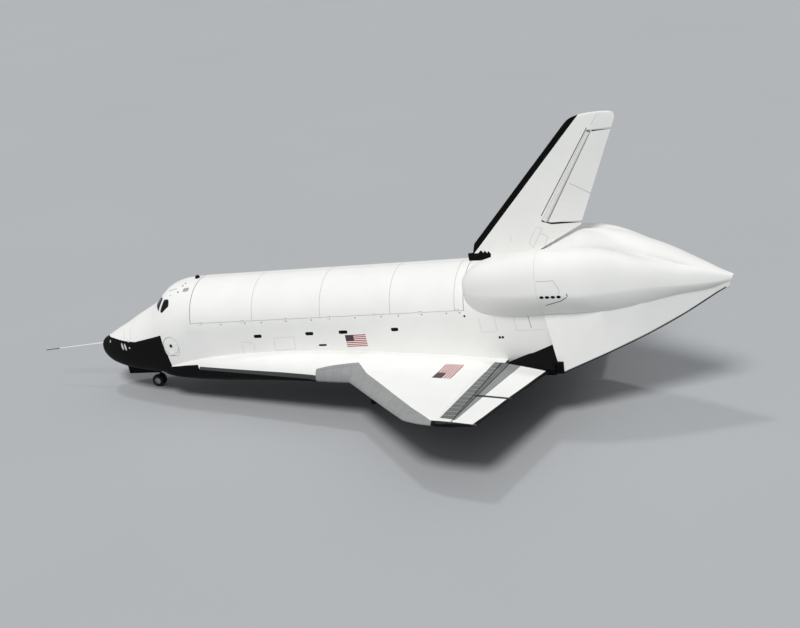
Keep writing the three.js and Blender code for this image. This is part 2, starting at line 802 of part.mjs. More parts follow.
function inboardElevon() {
  return elevon(120, ELEVON.split - ELEVON.gap, HINGE_LUG_SPANS[0]).subtract(elevonRoot());
}

function outboardElevon() {
  return elevon(ELEVON.split + ELEVON.gap, ELEVON.tip - ELEVON.gap, HINGE_LUG_SPANS[1]);
}

// Fin: a double wedge whose greatest thickness lies on the rudder hinge line

const FIN_WEDGE = Math.tan(THREE.MathUtils.degToRad(5));
const HINGE_SHARE = 0.6;

function finFront(z) {
  return 1277.9 + (z - 500);
}

function finBack(z) {
  return 1543.8 + 0.4862 * (z - 500);
}

function rudderHinge(z) {
  return finFront(z) + HINGE_SHARE * (finBack(z) - finFront(z));
}

function finHalfThickness(z) {
  return HINGE_SHARE * (finBack(z) - finFront(z)) * FIN_WEDGE;
}

// height, then how far the front and back edges are rounded off there
const FIN_HEIGHTS = [
  [470, 0, 0],
  [560, 0, 0],
  [650, 0, 0],
  [740, 0, 0],
  [795, 0, 0],
  [800, 0.4, 0],
  [805, 1.5, 1.8],
  [809, 4.5, 3.8],
  [812, 9, 6.5],
  [814.6, 18, 11],
  [816.4, 26, 19],
  [817, 34, 26],
];

function finRing([z, frontTrim, backTrim]) {
  const front = finFront(z) + frontTrim;
  const back = finBack(z) - backTrim;
  const hinge = rudderHinge(z);
  const thick = finHalfThickness(z);
  const port = [
    [front, -0.7],
    [front + 5, -1.6],
    [front + (hinge - front) * 0.5, -thick * 0.56],
    [hinge, -thick],
    [back, -0.4],
  ];
  const starboard = port.map(([x, y]) => [x, -y]).reverse();
  return [...port, ...starboard].map(([x, y]) => [x, y, z]);
}

const WHOLE_FIN = loft(FIN_HEIGHTS.map(finRing));

const RUDDER = { bottom: 587, top: 780 };
const SHAFT_PIN = { radius: 2.2, length: 4 };

function alongHinge(z) {
  return [rudderHinge(z), 0, z];
}

const SHAFT_SIDES = 24;

// The tapered shaft, or with some room round it the space that it turns in.
function shaftCone(room = 0, stretch = 0) {
  const bottom = RUDDER.bottom - stretch;
  const top = RUDDER.top - 4 + stretch;
  const radiusAt = (z) => {
    const radius = finHalfThickness(z) - 0.3;
    return room > 0 ? boreRadius(radius, room, SHAFT_SIDES) : radius;
  };
  const turn = room > 0 ? Math.PI / SHAFT_SIDES : 0;
  return rod(alongHinge(bottom), alongHinge(top), radiusAt(bottom), radiusAt(top), SHAFT_SIDES, turn);
}

function shaftEnds(stretch = 0) {
  const reach = SHAFT_PIN.length + stretch;
  return [alongHinge(RUDDER.bottom - reach), alongHinge(RUDDER.top - 4 + reach)];
}

// The opening behind the fin box, seen from the side, and the leaf that fills it
function rudderOutline(gap) {
  const { bottom, top } = RUDDER;
  const lip = (z) => rudderHinge(z) - 0.5 * finHalfThickness(z);
  return [
    [lip(bottom), bottom - gap / 2],
    [1514, 578.5 - gap],
    [1581, 575.5 - gap],
    [1640, 573 - gap],
    [1760, top + gap],
    [lip(top), top + gap],
  ];
}

function rudderShaft() {
  return shaftCone().add(rod(...shaftEnds(), SHAFT_PIN.radius));
}

function finBox() {
  const foot = [FIN_FOOT.front, FIN_FOOT.back, [1640, 570], [1640, 440], [1436, 440], [1436, 502]];
  return cut(WHOLE_FIN, [
    extrude(foot, 'y', -40, 40),
    hull(1200, BASE, GAP),
    body(HUMP, 1440, 1503, GAP),
    extrude(rudderOutline(1.4), 'y', -40, 40),
    shaftCone(RUNNING, 0.6),
    bore(...shaftEnds(0.4), SHAFT_PIN.radius),
    finEdgeBand(GAP),
    finRootSpace(),
  ]);
}

const FIN_BAND_WIDTH = 19;

function finEdgeBand(grow) {
  const back = FIN_BAND_WIDTH + grow;
  const outline = [[1200, 440], [finFront(440) + back, 440], [finFront(830) + back, 830], [1200, 830]];
  return extrude(outline, 'y', -40, 40);
}

// The space over the rear end of the payload doors, which the fin's root keeps out of.
function finRootSpace() {
  return extrude([[1200, 440], [1307, 440], [1307, 500], [1319.5, 541.6], [1200, 541.6]], 'y', -40, 40);
}

function finLeadingEdge() {
  return cut(WHOLE_FIN.intersect(finEdgeBand(0)), [
    hull(1200, BASE, GAP),
    finRootSpace(),
  ]);
}

const RUDDER_LUG_HEIGHTS = [606, 680, 752];

function rudderPanel() {
  const half = block(1400, 1800, 0.3, 40, 500, 900);
  const leaf = WHOLE_FIN.intersect(half).intersect(extrude(rudderOutline(-1.2), 'y', -40, 40));
  const forward = extrude([
    [1300, 500],
    [rudderHinge(500) + 1.02 * finHalfThickness(500), 500],
    [rudderHinge(900) + 1.02 * finHalfThickness(900), 900],
    [1300, 900],
  ], 'y', -40, 40);
  const bands = joined(RUDDER_LUG_HEIGHTS.map((z) => block(1400, 1800, 0.3, 4.5, z - 5, z + 5)));
  const plate = cut(leaf, [forward, shaftCone(RUNNING, 20)]);
  const lugs = cut(leaf.intersect(bands), [shaftCone(GAP, 20), ahead()]);
  return joined([plate, lugs]);
}

// Everything ahead of the hinge line
function ahead() {
  return extrude([[1300, 500], [rudderHinge(500), 500], [rudderHinge(900), 900], [1300, 900]], 'y', -40, 40);
}

// Landing gear: the ground rises towards the nose, seen from the pitched craft

const MAIN_GEAR = { x: 1172, y: 136, tyre: 22.25, width: 15, spacing: 14.5, rim: 10.5, axle: 2.4 };
const NOSE_GEAR = { x: 378.6, y: 0, tyre: 16, width: 8.8, spacing: 7.6, rim: 8, axle: 1.7 };
const GROUND_UNDER_MAIN = 167;
const WHEEL_SIDES = 20;

function groundHeight(x) {
  return GROUND_UNDER_MAIN + (MAIN_GEAR.x - x) * Math.tan(PARKED_PITCH);
}

function axleHeight(gear) {
  return groundHeight(gear.x) + gear.tyre / Math.cos(PARKED_PITCH);
}

// Wheels are turned so that a flat of the tyre lies on the ground.
const WHEEL_PHASE = PARKED_PITCH + Math.PI / WHEEL_SIDES;
const FLAT_TO_CORNER = 1 / Math.cos(Math.PI / WHEEL_SIDES);

function tyre(gear, side) {
  const { tyre: radius, width, spacing, rim } = gear;
  const half = width / 2;
  const profile = [
    [rim, -half * 0.8],
    [radius * 0.82, -half],
    [radius * 0.95, -half * 0.88],
    [radius, -half * 0.5],
    [radius, half * 0.5],
    [radius * 0.95, half * 0.88],
    [radius * 0.82, half],
    [rim, half * 0.8],
    [rim, -half * 0.8],
  ].map(([r, offset]) => [r * FLAT_TO_CORNER, offset]);
  return turned(profile, WHEEL_SIDES, WHEEL_PHASE, [gear.x, gear.y + side * spacing, axleHeight(gear)]);
}

function wheelHubs(gear) {
  const { width, spacing, rim, axle } = gear;
  const half = width / 2;
  const dish = [
    [0, -half * 0.45],
    [rim * 0.7, -half * 0.3],
    [rim - GAP, -half * 0.75],
    [rim - GAP, half * 0.75],
    [rim * 0.7, half * 0.3],
    [0, half * 0.45],
  ].map(([r, offset]) => [r * FLAT_TO_CORNER, offset]);
  const z = axleHeight(gear);
  const rims = [-1, 1].map((side) => (
    turned(dish, WHEEL_SIDES, WHEEL_PHASE, [gear.x, gear.y + side * spacing, z])
  ));
  const bar = rod([gear.x, gear.y - spacing, z], [gear.x, gear.y + spacing, z], axle);
  return joined([...rims, bar]);
}

function axleBore(gear) {
  const z = axleHeight(gear);
  return bore([gear.x, gear.y - 20, z], [gear.x, gear.y + 20, z], gear.axle);
}

function axleHousing(gear) {
  const { x, y, spacing, width, axle } = gear;
  const reach = spacing - width / 2 - RUNNING;
  const z = axleHeight(gear);
  return rod([x, y - reach, z], [x, y + reach, z], axle + 1.6);
}

function mainGearLeg() {
  const { x, y } = MAIN_GEAR;
  const { roof, inner, outer } = MAIN_WELL;
  const pivot = roof - 9;
  const axle = axleHeight(MAIN_GEAR);
  const leg = joined([
    rod([x, y, roof - GAP], [x, y, 226], 6.4, 5.6),
    rod([x, y, 240], [x, y, axle], 3.9),
    rod([x, inner + GAP, pivot], [x, outer - GAP, pivot], 3.2),
    rod([x, y, 236], [x - 62, y, roof - 2.4], 2.4, 2.4, 8),
    rod([x + 6, y, axle + 7], [x + 13, y, 216], 1.4, 1.4, 6),
    rod([x + 13, y, 216], [x + 4, y, 234], 1.4, 1.4, 6),
    rod([x, y, axle], [x + 7, y, axle + 8], 1.8, 1.8, 8),
    axleHousing(MAIN_GEAR),
  ]);
  return leg.subtract(axleBore(MAIN_GEAR));
}

function mainGearDoor() {
  const { front, back, outer } = MAIN_WELL;
  return block(front + 2, back - 2, outer - GAP - 2.2, outer - GAP, 222, 286);
}

const STEERING = { radius: 3, sleeve: 4.4, top: 262, bottom: 248 };

// The upper leg: the steered piston turns in its bore.
function noseGearLeg() {
  const { x } = NOSE_GEAR;
  const { roof, halfWidth } = NOSE_WELL;
  const pivot = roof - 12;
  const leg = joined([
    rod([x, 0, roof - GAP], [x, 0, STEERING.bottom], STEERING.sleeve),
    rod([x, GAP - halfWidth, pivot], [x, halfWidth - GAP, pivot], 2.6),
    rod([x, 0, 266], [x - 56, 0, roof - 2], 1.9, 1.9, 8),
  ]);
  return leg.subtract(bore([x, 0, STEERING.top], [x, 0, 200], STEERING.radius));
}

function noseGearPiston() {
  const { x } = NOSE_GEAR;
  const axle = axleHeight(NOSE_GEAR);
  const piston = joined([
    rod([x, 0, STEERING.top - GAP], [x, 0, axle], STEERING.radius),
    axleHousing(NOSE_GEAR),
  ]);
  return piston.subtract(axleBore(NOSE_GEAR));
}

function noseGearDoor() {
  const { front, back, halfWidth } = NOSE_WELL;
  return block(front + 1.5, back - 1.5, halfWidth - GAP - 1.4, halfWidth - GAP, 259, 287);
}

// Finishes

const FINISHES = {
  white: new THREE.MeshStandardMaterial({ color: 0xf2f1ec, roughness: 0.55 }),
  black: new THREE.MeshStandardMaterial({ color: 0x18181a, roughness: 0.7 }),
  grey: new THREE.MeshStandardMaterial({ color: 0x8a8b8c, roughness: 0.6 }),
  darkGrey: new THREE.MeshStandardMaterial({ color: 0x6a6b6c, roughness: 0.6 }),
  glass: new THREE.MeshStandardMaterial({ color: 0x0b0d10, roughness: 0.1, metalness: 0.1 }),
  metal: new THREE.MeshStandardMaterial({ color: 0xb5b7b8, roughness: 0.35, metalness: 0.9 }),
  rubber: new THREE.MeshStandardMaterial({ color: 0x1b1b1c, roughness: 0.85 }),
  cloth: new THREE.MeshStandardMaterial({ color: 0x3d4248, roughness: 0.9 }),
};

// Assembly

const craft = new THREE.Group();

function add(name, finish, piece) {
  const { vertProperties, triVerts } = piece.getMesh();
  const geometry = new THREE.BufferGeometry();
  geometry.setAttribute('position', new THREE.BufferAttribute(new Float32Array(vertProperties), 3));
  geometry.setIndex(new THREE.BufferAttribute(new Uint32Array(triVerts), 1));
  geometry.computeVertexNormals();
  const mesh = new THREE.Mesh(geometry, FINISHES[finish]);
  mesh.name = name;
  craft.add(mesh);
}

// A piece built for one side, and its mirror image for the other.
function addPair(name, finish, piece, side = 'right') {
  const other = side === 'right' ? 'left' : 'right';
  add(`${name}_${side}`, finish, piece);
  add(`${name}_${other}`, finish, mirrored(piece));
}

add('nose_cap', 'black', noseCap());
add('air_data_boom', 'white', airDataBoom());
add('forward_fuselage', 'white', forwardFuselage());
add('forward_thruster_module', 'white', forwardThrusterModule());
for (const [name, opening] of Object.entries(WINDOWS)) {
  addPair(name, 'glass', windowPane(opening), 'left');
}
add('side_hatch', 'white', sideHatch());
addPair('escape_panel', 'white', escapePanel(), 'left');
add('hatch_window', 'glass', hatchWindow());
add('flight_deck_floor', 'metal', flightDeckFloor());
add('instrument_panel', 'darkGrey', instrumentPanel());
addPair('crew_seat', 'cloth', crewSeat(), 'left');
add('mid_fuselage', 'white', midFuselage());
addPair('payload_door', 'white', payloadDoor());
add('aft_fuselage', 'white', aftFuselage());
addPair('oms_pod', 'white', omsPod());
add('tail_cone', 'white', tailCone());
add('engine_block', 'metal', engineBlock());
addPair('wing', 'white', wing());
addPair('wing_leading_edge', 'grey', wingLeadingEdge());
addPair('elevon_inboard', 'white', inboardElevon());
addPair('elevon_outboard', 'white', outboardElevon());
addPair('elevon_seal', 'darkGrey', elevonSeal());
add('fin', 'white', finBox());
add('fin_leading_edge', 'black', finLeadingEdge());
add('rudder_shaft', 'white', rudderShaft());
addPair('rudder_panel', 'white', rudderPanel());
add('nose_gear_leg', 'metal', noseGearLeg());
add('nose_gear_piston', 'metal', noseGearPiston());
add('nose_wheel_hubs', 'metal', wheelHubs(NOSE_GEAR));
add('nose_tyre_right', 'rubber', tyre(NOSE_GEAR, 1));
add('nose_tyre_left', 'rubber', tyre(NOSE_GEAR, -1));
addPair('nose_gear_door', 'white', noseGearDoor());
addPair('main_gear_leg', 'metal', mainGearLeg());
addPair('main_wheel_hubs', 'metal', wheelHubs(MAIN_GEAR));
addPair('main_tyre_inner', 'rubber', tyre(MAIN_GEAR, -1));
addPair('main_tyre_outer', 'rubber', tyre(MAIN_GEAR, 1));
addPair('main_gear_door', 'white', mainGearDoor());

// Pitch the craft about its stations' origin, scale it, then stand it on the ground.
craft.rotation.y = -PARKED_PITCH;
craft.scale.setScalar(MM_PER_INCH * MODEL_SCALE);
craft.updateMatrixWorld(true);
const extent = new THREE.Box3().setFromObject(craft, true);
craft.position.set(-(extent.min.x + extent.max.x) / 2, 0, -extent.min.z);

export default craft;
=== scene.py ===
"""Dresses the half-scale space shuttle: fine skins, markings, landing gear, cabin and studio."""

import functools
import json
import logging
import math
from dataclasses import dataclass, field
from enum import Enum
from typing import Any, Callable, Iterable, Sequence

import bmesh
import bpy
import numpy as np
from mathutils import Matrix, Vector


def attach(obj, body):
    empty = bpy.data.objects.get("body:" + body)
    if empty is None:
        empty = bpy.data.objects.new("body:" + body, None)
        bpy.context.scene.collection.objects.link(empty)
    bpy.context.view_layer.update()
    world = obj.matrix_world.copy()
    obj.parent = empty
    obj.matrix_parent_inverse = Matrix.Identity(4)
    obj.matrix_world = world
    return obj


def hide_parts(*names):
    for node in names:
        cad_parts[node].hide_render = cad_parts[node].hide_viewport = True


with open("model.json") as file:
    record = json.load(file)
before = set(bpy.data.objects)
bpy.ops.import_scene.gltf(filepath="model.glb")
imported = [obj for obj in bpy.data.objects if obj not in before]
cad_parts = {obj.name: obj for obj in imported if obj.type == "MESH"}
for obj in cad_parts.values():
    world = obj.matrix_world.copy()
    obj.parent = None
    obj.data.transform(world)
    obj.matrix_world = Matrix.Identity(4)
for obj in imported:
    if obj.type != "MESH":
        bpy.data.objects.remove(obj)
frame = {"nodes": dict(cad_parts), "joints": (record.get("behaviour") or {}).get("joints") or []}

log = logging.getLogger("craft")

Point = Sequence[float]
Outline = Sequence[tuple[float, float]]
Rows = tuple[tuple[float, ...], ...]

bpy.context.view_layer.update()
INCH = 0.0127  # one inch of the full-size craft, in metres at half scale
PITCH = math.radians(3.5)  # nose-down attitude on its wheels
AXLE_STATION = (1172.0, -136.0, 189.2916)  # main wheel axle, whose place the frame's joint gives


def joint_place(name: str) -> np.ndarray:
    """Finds where a joint of the frame lies.

    Args:
        name: the joint's name.

    Returns:
        Its position in the frame, in metres.
    """
    return np.array(next(joint["pos_m"] for joint in frame["joints"] if joint["name"] == name))


@dataclass(frozen=True)
class Stations:
    """Places on the craft in full-size inches: x aft, y to starboard, z up from the body's axis."""

    turn: Rows = (
        (math.cos(PITCH), 0.0, -math.sin(PITCH)),
        (0.0, 1.0, 0.0),
        (math.sin(PITCH), 0.0, math.cos(PITCH)),
    )

    @functools.cached_property
    def origin(self) -> np.ndarray:
        """Frame place of station 0, 0, 0."""
        return joint_place("main_wheel_spin_left") - np.array(self.turn) @ np.array(AXLE_STATION) * INCH

    def to_frame(self, points: np.ndarray) -> np.ndarray:
        """Turns station places into frame places.

        Args:
            points: one or more places in inches.

        Returns:
            The same places in metres.
        """
        return np.asarray(points, float) @ np.array(self.turn).T * INCH + self.origin

    def direction(self, vector: Point) -> np.ndarray:
        """Turns a direction of the craft into one of the frame."""
        return np.array(self.turn) @ np.asarray(vector, float)


STATIONS = Stations()


# Solid shapes

PAINTS = [bpy.data.materials.new(f"paint_{k}") for k in range(6)]


class Solid:
    """A closed mesh in station inches that other solids can cut and join.

    Each face carries the number of the finish it takes in the piece that it ends up in.
    """

    def __init__(self, mesh: bpy.types.Mesh) -> None:
        """Keeps the mesh."""
        self.mesh = mesh

    @classmethod
    def of(cls, points: np.ndarray, faces: Sequence[Sequence[int]],
           paint: int | Sequence[int] = 0) -> "Solid":
        """Makes a solid from points and faces.

        Args:
            points: corners in inches.
            faces: indices of each face's corners.
            paint: finish number of all faces, or of each.

        Returns:
            The solid, with its faces pointing out.
        """
        mesh = bpy.data.meshes.new("solid")
        mesh.from_pydata(np.asarray(points, float).tolist(), [], [list(face) for face in faces])
        for material in PAINTS:
            mesh.materials.append(material)
        numbers = np.full(len(faces), paint) if isinstance(paint, int) else np.array(paint)
        mesh.polygons.foreach_set("material_index", numbers.astype(np.int32))
        edit = bmesh.new()
        edit.from_mesh(mesh)
        bmesh.ops.recalc_face_normals(edit, faces=edit.faces)
        edit.to_mesh(mesh)
        edit.free()
        return cls(mesh)

    @property
    def points(self) -> np.ndarray:
        """Corners in inches."""
        places = np.empty(len(self.mesh.vertices) * 3)
        self.mesh.vertices.foreach_get("co", places)
        return places.reshape(-1, 3)

    def moved(self, change: Callable[[np.ndarray], np.ndarray]) -> "Solid":
        """Returns a copy whose corners a function has moved."""
        mesh = self.mesh.copy()
        mesh.vertices.foreach_set("co", change(self.points).ravel())
        return Solid(mesh)

    def mirrored(self) -> "Solid":
        """Returns the other side's copy."""
        copy = self.moved(lambda places: places * (1, -1, 1))
        copy.mesh.flip_normals()
        return copy

    def painted(self, paint: int) -> "Solid":
        """Returns a copy with one finish number all over."""
        mesh = self.mesh.copy()
        mesh.polygons.foreach_set("material_index", np.full(len(mesh.polygons), paint, np.int32))
        return Solid(mesh)

    def modified(self, kind: str, **settings: Any) -> "Solid":
        """Applies one modifier.

        Args:
            kind: Blender's name of the modifier.
            settings: what is set on it.

        Returns:
            The changed solid.
        """
        bench = bpy.data.objects.new("bench", self.mesh)
        bpy.context.scene.collection.objects.link(bench)
        modifier = bench.modifiers.new("work", kind)
        for key, value in settings.items():
            setattr(modifier, key, value)
        graph = bpy.context.evaluated_depsgraph_get()
        mesh = bpy.data.meshes.new_from_object(bench.evaluated_get(graph))
        bpy.data.objects.remove(bench)
        return Solid(mesh)

    def _with(self, other: "Solid", operation: str) -> "Solid":
        """Combines this solid with another one by a boolean operation."""
        tool = bpy.data.objects.new("tool", other.mesh)
        bpy.context.scene.collection.objects.link(tool)
        result = self.modified("BOOLEAN", operation=operation, solver="MANIFOLD", object=tool)
        bpy.data.objects.remove(tool)
        return result

    def cut(self, *others: "Solid") -> "Solid":
        """Returns what is left of this solid outside the others."""
        return functools.reduce(lambda rest, other: rest._with(other, "DIFFERENCE"), others, self)

    def keep(self, *others: "Solid") -> "Solid":
        """Returns what this solid shares with all the others."""
        return functools.reduce(lambda rest, other: rest._with(other, "INTERSECT"), others, self)

    def join(self, *others: "Solid") -> "Solid":
        """Returns this solid and the others as one."""
        return functools.reduce(lambda rest, other: rest._with(other, "UNION"), others, self)


def together(solids: Iterable[Solid]) -> Solid:
    """Gathers solids that don't touch into one.

    Args:
        solids: the separate solids.

    Returns:
        One solid of several lumps.
    """
    edit = bmesh.new()
    for solid in solids:
        edit.from_mesh(solid.mesh)
    mesh = bpy.data.meshes.new("solid")
    edit.to_mesh(mesh)
    edit.free()
    for material in PAINTS:
        mesh.materials.append(material)
    return Solid(mesh)


def loft(rings: np.ndarray, paint: int = 0, ring_paint: Sequence[int] | None = None) -> Solid:
    """Skins rings of equal numbers of points and caps both ends.

    Args:
        rings: places, as ring, point and axis.
        paint: finish number of the skin and its caps.
        ring_paint: finish number of each strip along the rings, in place of the first.

    Returns:
        The solid.
    """
    layers, count = rings.shape[:2]
    step = np.arange(count)
    after = (step + 1) % count
    base = (np.arange(layers - 1) * count)[:, None]
    faces = np.stack([base + step, base + after, base + count + after, base + count + step], -1)
    caps = [list(range(count)), list(range((layers - 1) * count, layers * count))]
    strips = np.full(count, paint) if ring_paint is None else np.array(ring_paint)
    paints = [*np.tile(strips, layers - 1).tolist(), paint, paint]
    return Solid.of(rings.reshape(-1, 3), [*faces.reshape(-1, 4).tolist(), *caps], paints)


def block(low: Point, high: Point, paint: int = 0) -> Solid:
    """Makes a box from its lowest and highest corners."""
    x0, y0, z0 = low
    x1, y1, z1 = high
    rings = np.array([[(x, y0, z0), (x, y1, z0), (x, y1, z1), (x, y0, z1)] for x in (x0, x1)])
    return loft(rings, paint)


def across(axis: np.ndarray) -> tuple[np.ndarray, np.ndarray]:
    """Returns two unit directions square to an axis and to each other."""
    aside = np.array((0.0, 1.0, 0.0)) if abs(axis[1]) < 0.9 else np.array((1.0, 0.0, 0.0))
    first = np.cross(axis, aside)
    first /= np.linalg.norm(first)
    return first, np.cross(axis, first)


def turned(start: Point, end: Point, profile: Outline, sides: int = 40, paint: int = 0) -> Solid:
    """Turns a profile round the line between two places.

    Args:
        start: where the profile's offset is 0.
        end: where its offset is 1.
        profile: offset along the line, then radius in inches, from one end to the other.
        sides: number of facets.
        paint: finish number.

    Returns:
        The round solid.
    """
    start, end = np.asarray(start, float), np.asarray(end, float)
    first, second = across((end - start) / np.linalg.norm(end - start))
    angle = np.arange(sides) * 2 * np.pi / sides
    circle = np.cos(angle)[:, None] * first + np.sin(angle)[:, None] * second
    rings = [start + (end - start) * offset + circle * max(radius, 0.01) for offset, radius in profile]
    return loft(np.array(rings), paint)


def rod(start: Point, end: Point, radius: float, end_radius: float | None = None, sides: int = 32,
        paint: int = 0) -> Solid:
    """Makes a round bar, tapered if its two radii differ."""
    last = radius if end_radius is None else end_radius
    return turned(start, end, [(0, radius), (1, last)], sides, paint)


def pipe(path: Sequence[Point], radius: float, sides: int = 12, paint: int = 0) -> Solid:
    """Sweeps a circle along a smooth path through some places.

    Args:
        path: the places.
        radius: the pipe's radius in inches.
        sides: number of facets.
        paint: finish number.

    Returns:
        The pipe.
    """
    knots = np.arange(len(path), dtype=float)
    places = monotone(knots, np.array(path, float), np.linspace(0, len(path) - 1, 8 * len(path)))
    ways = np.gradient(places, axis=0)
    ways /= np.linalg.norm(ways, axis=1)[:, None]
    first = across(ways[0])[0]
    rings = []
    for place, way in zip(places, ways):
        first = first - way * (first @ way)
        first /= np.linalg.norm(first)
        second = np.cross(way, first)
        angle = np.arange(sides) * 2 * np.pi / sides
        rings.append(place + radius * (np.cos(angle)[:, None] * first + np.sin(angle)[:, None] * second))
    return loft(np.array(rings), paint)


PLACES = {"x": (2, 0, 1), "y": (0, 2, 1), "z": (0, 1, 2)}  # which of u, v and w each axis takes


def prism(outline: Outline, axis: str, low: float, high: float, paint: int = 0) -> Solid:
    """Pulls a flat outline along an axis.

    Args:
        outline: its two other coordinates, in the order of the axes.
        axis: x, y or z.
        low: where it starts.
        high: where it ends.
        paint: finish number.

    Returns:
        The prism.
    """
    rings = np.array([[(u, v, w) for u, v in outline] for w in (low, high)], float)
    return loft(rings[..., PLACES[axis]], paint)


def monotone(xs: np.ndarray, ys: np.ndarray, at: np.ndarray) -> np.ndarray:
    """Runs a smooth curve through points without overshooting them.

    Args:
        xs: increasing positions.
        ys: a row of values for each position.
        at: positions that are wanted.

    Returns:
        A row of values for each of them.
    """
    gap = np.diff(xs)[:, None]
    slope = np.diff(ys, axis=0) / gap
    before, after = slope[:-1], slope[1:]
    weight = 2 * gap[1:] + gap[:-1], gap[1:] + 2 * gap[:-1]
    with np.errstate(divide="ignore", invalid="ignore"):
        mean = (weight[0] + weight[1]) / (weight[0] / before + weight[1] / after)
    rate = np.vstack([slope[:1], np.where(before * after > 0, mean, 0), slope[-1:]])
    k = np.clip(np.searchsorted(xs, at, side="right") - 1, 0, len(xs) - 2)
    t = ((at - xs[k]) / gap[k, 0])[:, None]
    rise = gap[k] * (rate[k] * (t - 2 * t**2 + t**3) + rate[k + 1] * (t**3 - t**2))
    return ys[k] * (1 + 2 * t**3 - 3 * t**2) + ys[k + 1] * (3 * t**2 - 2 * t**3) + rise


@dataclass(frozen=True)
class BodyForm:
    """A long form whose sections are two half superellipses above and below a waist.

    Sections: x, half width, top, waist, bottom, upper power, lower power, y of the middle.
    """

    sections: Rows
    tip: float  # x from whose root the sections are spaced, so that a nose stays round
    pace: float  # spacing of the rings in that root, and in tens of inches at the far end
    longest: float = 45.0

    def rows(self, xs: np.ndarray) -> np.ndarray:
        """Gives the section at each x."""
        table = np.array([(*row, 0.0)[:8] for row in self.sections])
        rest = monotone(np.sqrt(table[:, 0] - self.tip), table[:, 1:], np.sqrt(xs - self.tip))
        return np.column_stack([xs, rest])

    def places(self, start: float, end: float) -> np.ndarray:
        """Gives the x of each ring between two ends."""
        xs = [start]
        while xs[-1] < end:
            root = math.sqrt(xs[-1] - self.tip) + self.pace
            xs.append(min(self.tip + root**2, xs[-1] + self.longest))
        inner = [x for x in xs[1:-1] if end - x > 0.3 * (xs[-1] - xs[-2])]
        return np.array([start, *inner, end])

    def ring(self, row: np.ndarray, grow: float, quarter: int) -> np.ndarray:
        """Spaces points evenly round one section.

        Args:
            row: the section.
            grow: how far it is grown all round.
            quarter: number of steps in a quarter turn.

        Returns:
            The points.
        """
        x, half_width, top, waist, bottom, upper, lower, middle = row
        quarters = []
        for power, rise in ((upper, top - waist + grow), (lower, waist - bottom + grow)):
            angle = np.linspace(0, np.pi / 2, 200)
            over = (half_width + grow) * np.cos(angle) ** (2 / power)
            up = rise * np.sin(angle) ** (2 / power)
            length = np.concatenate([[0], np.cumsum(np.hypot(np.diff(over), np.diff(up)))])
            even = np.linspace(0, length[-1], quarter + 1)
            quarters.append((np.interp(even, length, over), np.interp(even, length, up)))
        (over, up), (under, down) = quarters
        y = np.concatenate([over, -over[-2::-1], -under[1:], under[-2:0:-1]])
        z = np.concatenate([up, up[-2::-1], -down[1:], -down[-2:0:-1]])
        return np.column_stack([np.full(len(y), x), y + middle, z + waist])

    def solid(self, start: float, end: float, grow: float = 0.0, quarter: int = 24, paint: int = 0) -> Solid:
        """Makes the form between two stations.

        Args:
            start: first x.
            end: last x.
            grow: how far it is grown all round, or shrunk if negative.
            quarter: number of steps in a quarter turn.
            paint: finish number.

        Returns:
            The solid.
        """
        rows = self.rows(self.places(start, end))
        return loft(np.array([self.ring(row, grow, quarter) for row in rows]), paint)


HULL = BodyForm(
    (
        (238.25, 0.6, 337.3, 336.8, 336.3, 2, 2),
        (238.6, 3.5, 340.3, 336, 332.5, 2, 2),
        (241, 11, 347.5, 335, 326, 2, 2),
        (247, 20, 354, 333, 319.5, 2, 2),
        (256, 30, 359.5, 331, 310, 2, 2),
        (268, 39, 365, 329, 301, 2, 2.1),
        (285, 49, 373.5, 327, 293, 2, 2.2),
        (305, 57, 383, 326, 287, 2, 2.3),
        (335, 67, 396.5, 326, 282, 2, 2.6),
        (370, 75.5, 414.5, 327, 279.5, 2, 3),
        (405, 83, 430.5, 330, 278, 2, 3.4),
        (437, 89.5, 446, 334, 277, 2.1, 3.8),
        (449, 91.8, 453, 336, 276.7, 2.15, 4),
        (460, 93.5, 463, 338, 276.5, 2.2, 4.2),
        (475, 95.8, 476.5, 341, 276.3, 2.2, 4.5),
        (491, 98, 488, 344, 276.2, 2.2, 4.8),
        (515, 100, 496.5, 352, 276.1, 2.2, 5.3),
        (540, 101.7, 501, 368, 276, 2.1, 6),
        (560, 102.3, 502, 385, 276, 2, 6.5),
        (582, 102.5, 502.5, 400, 276, 2, 7),
        (900, 102.5, 502.5, 400, 273, 2, 7),
        (1307, 102.5, 502.5, 400, 268, 2, 7),
        (1400, 104, 502.5, 400, 269, 2, 7),
        (1540, 104, 502.5, 400, 272, 2, 7),
    ),
    tip=238.0,
    pace=0.42,
    longest=40,
)

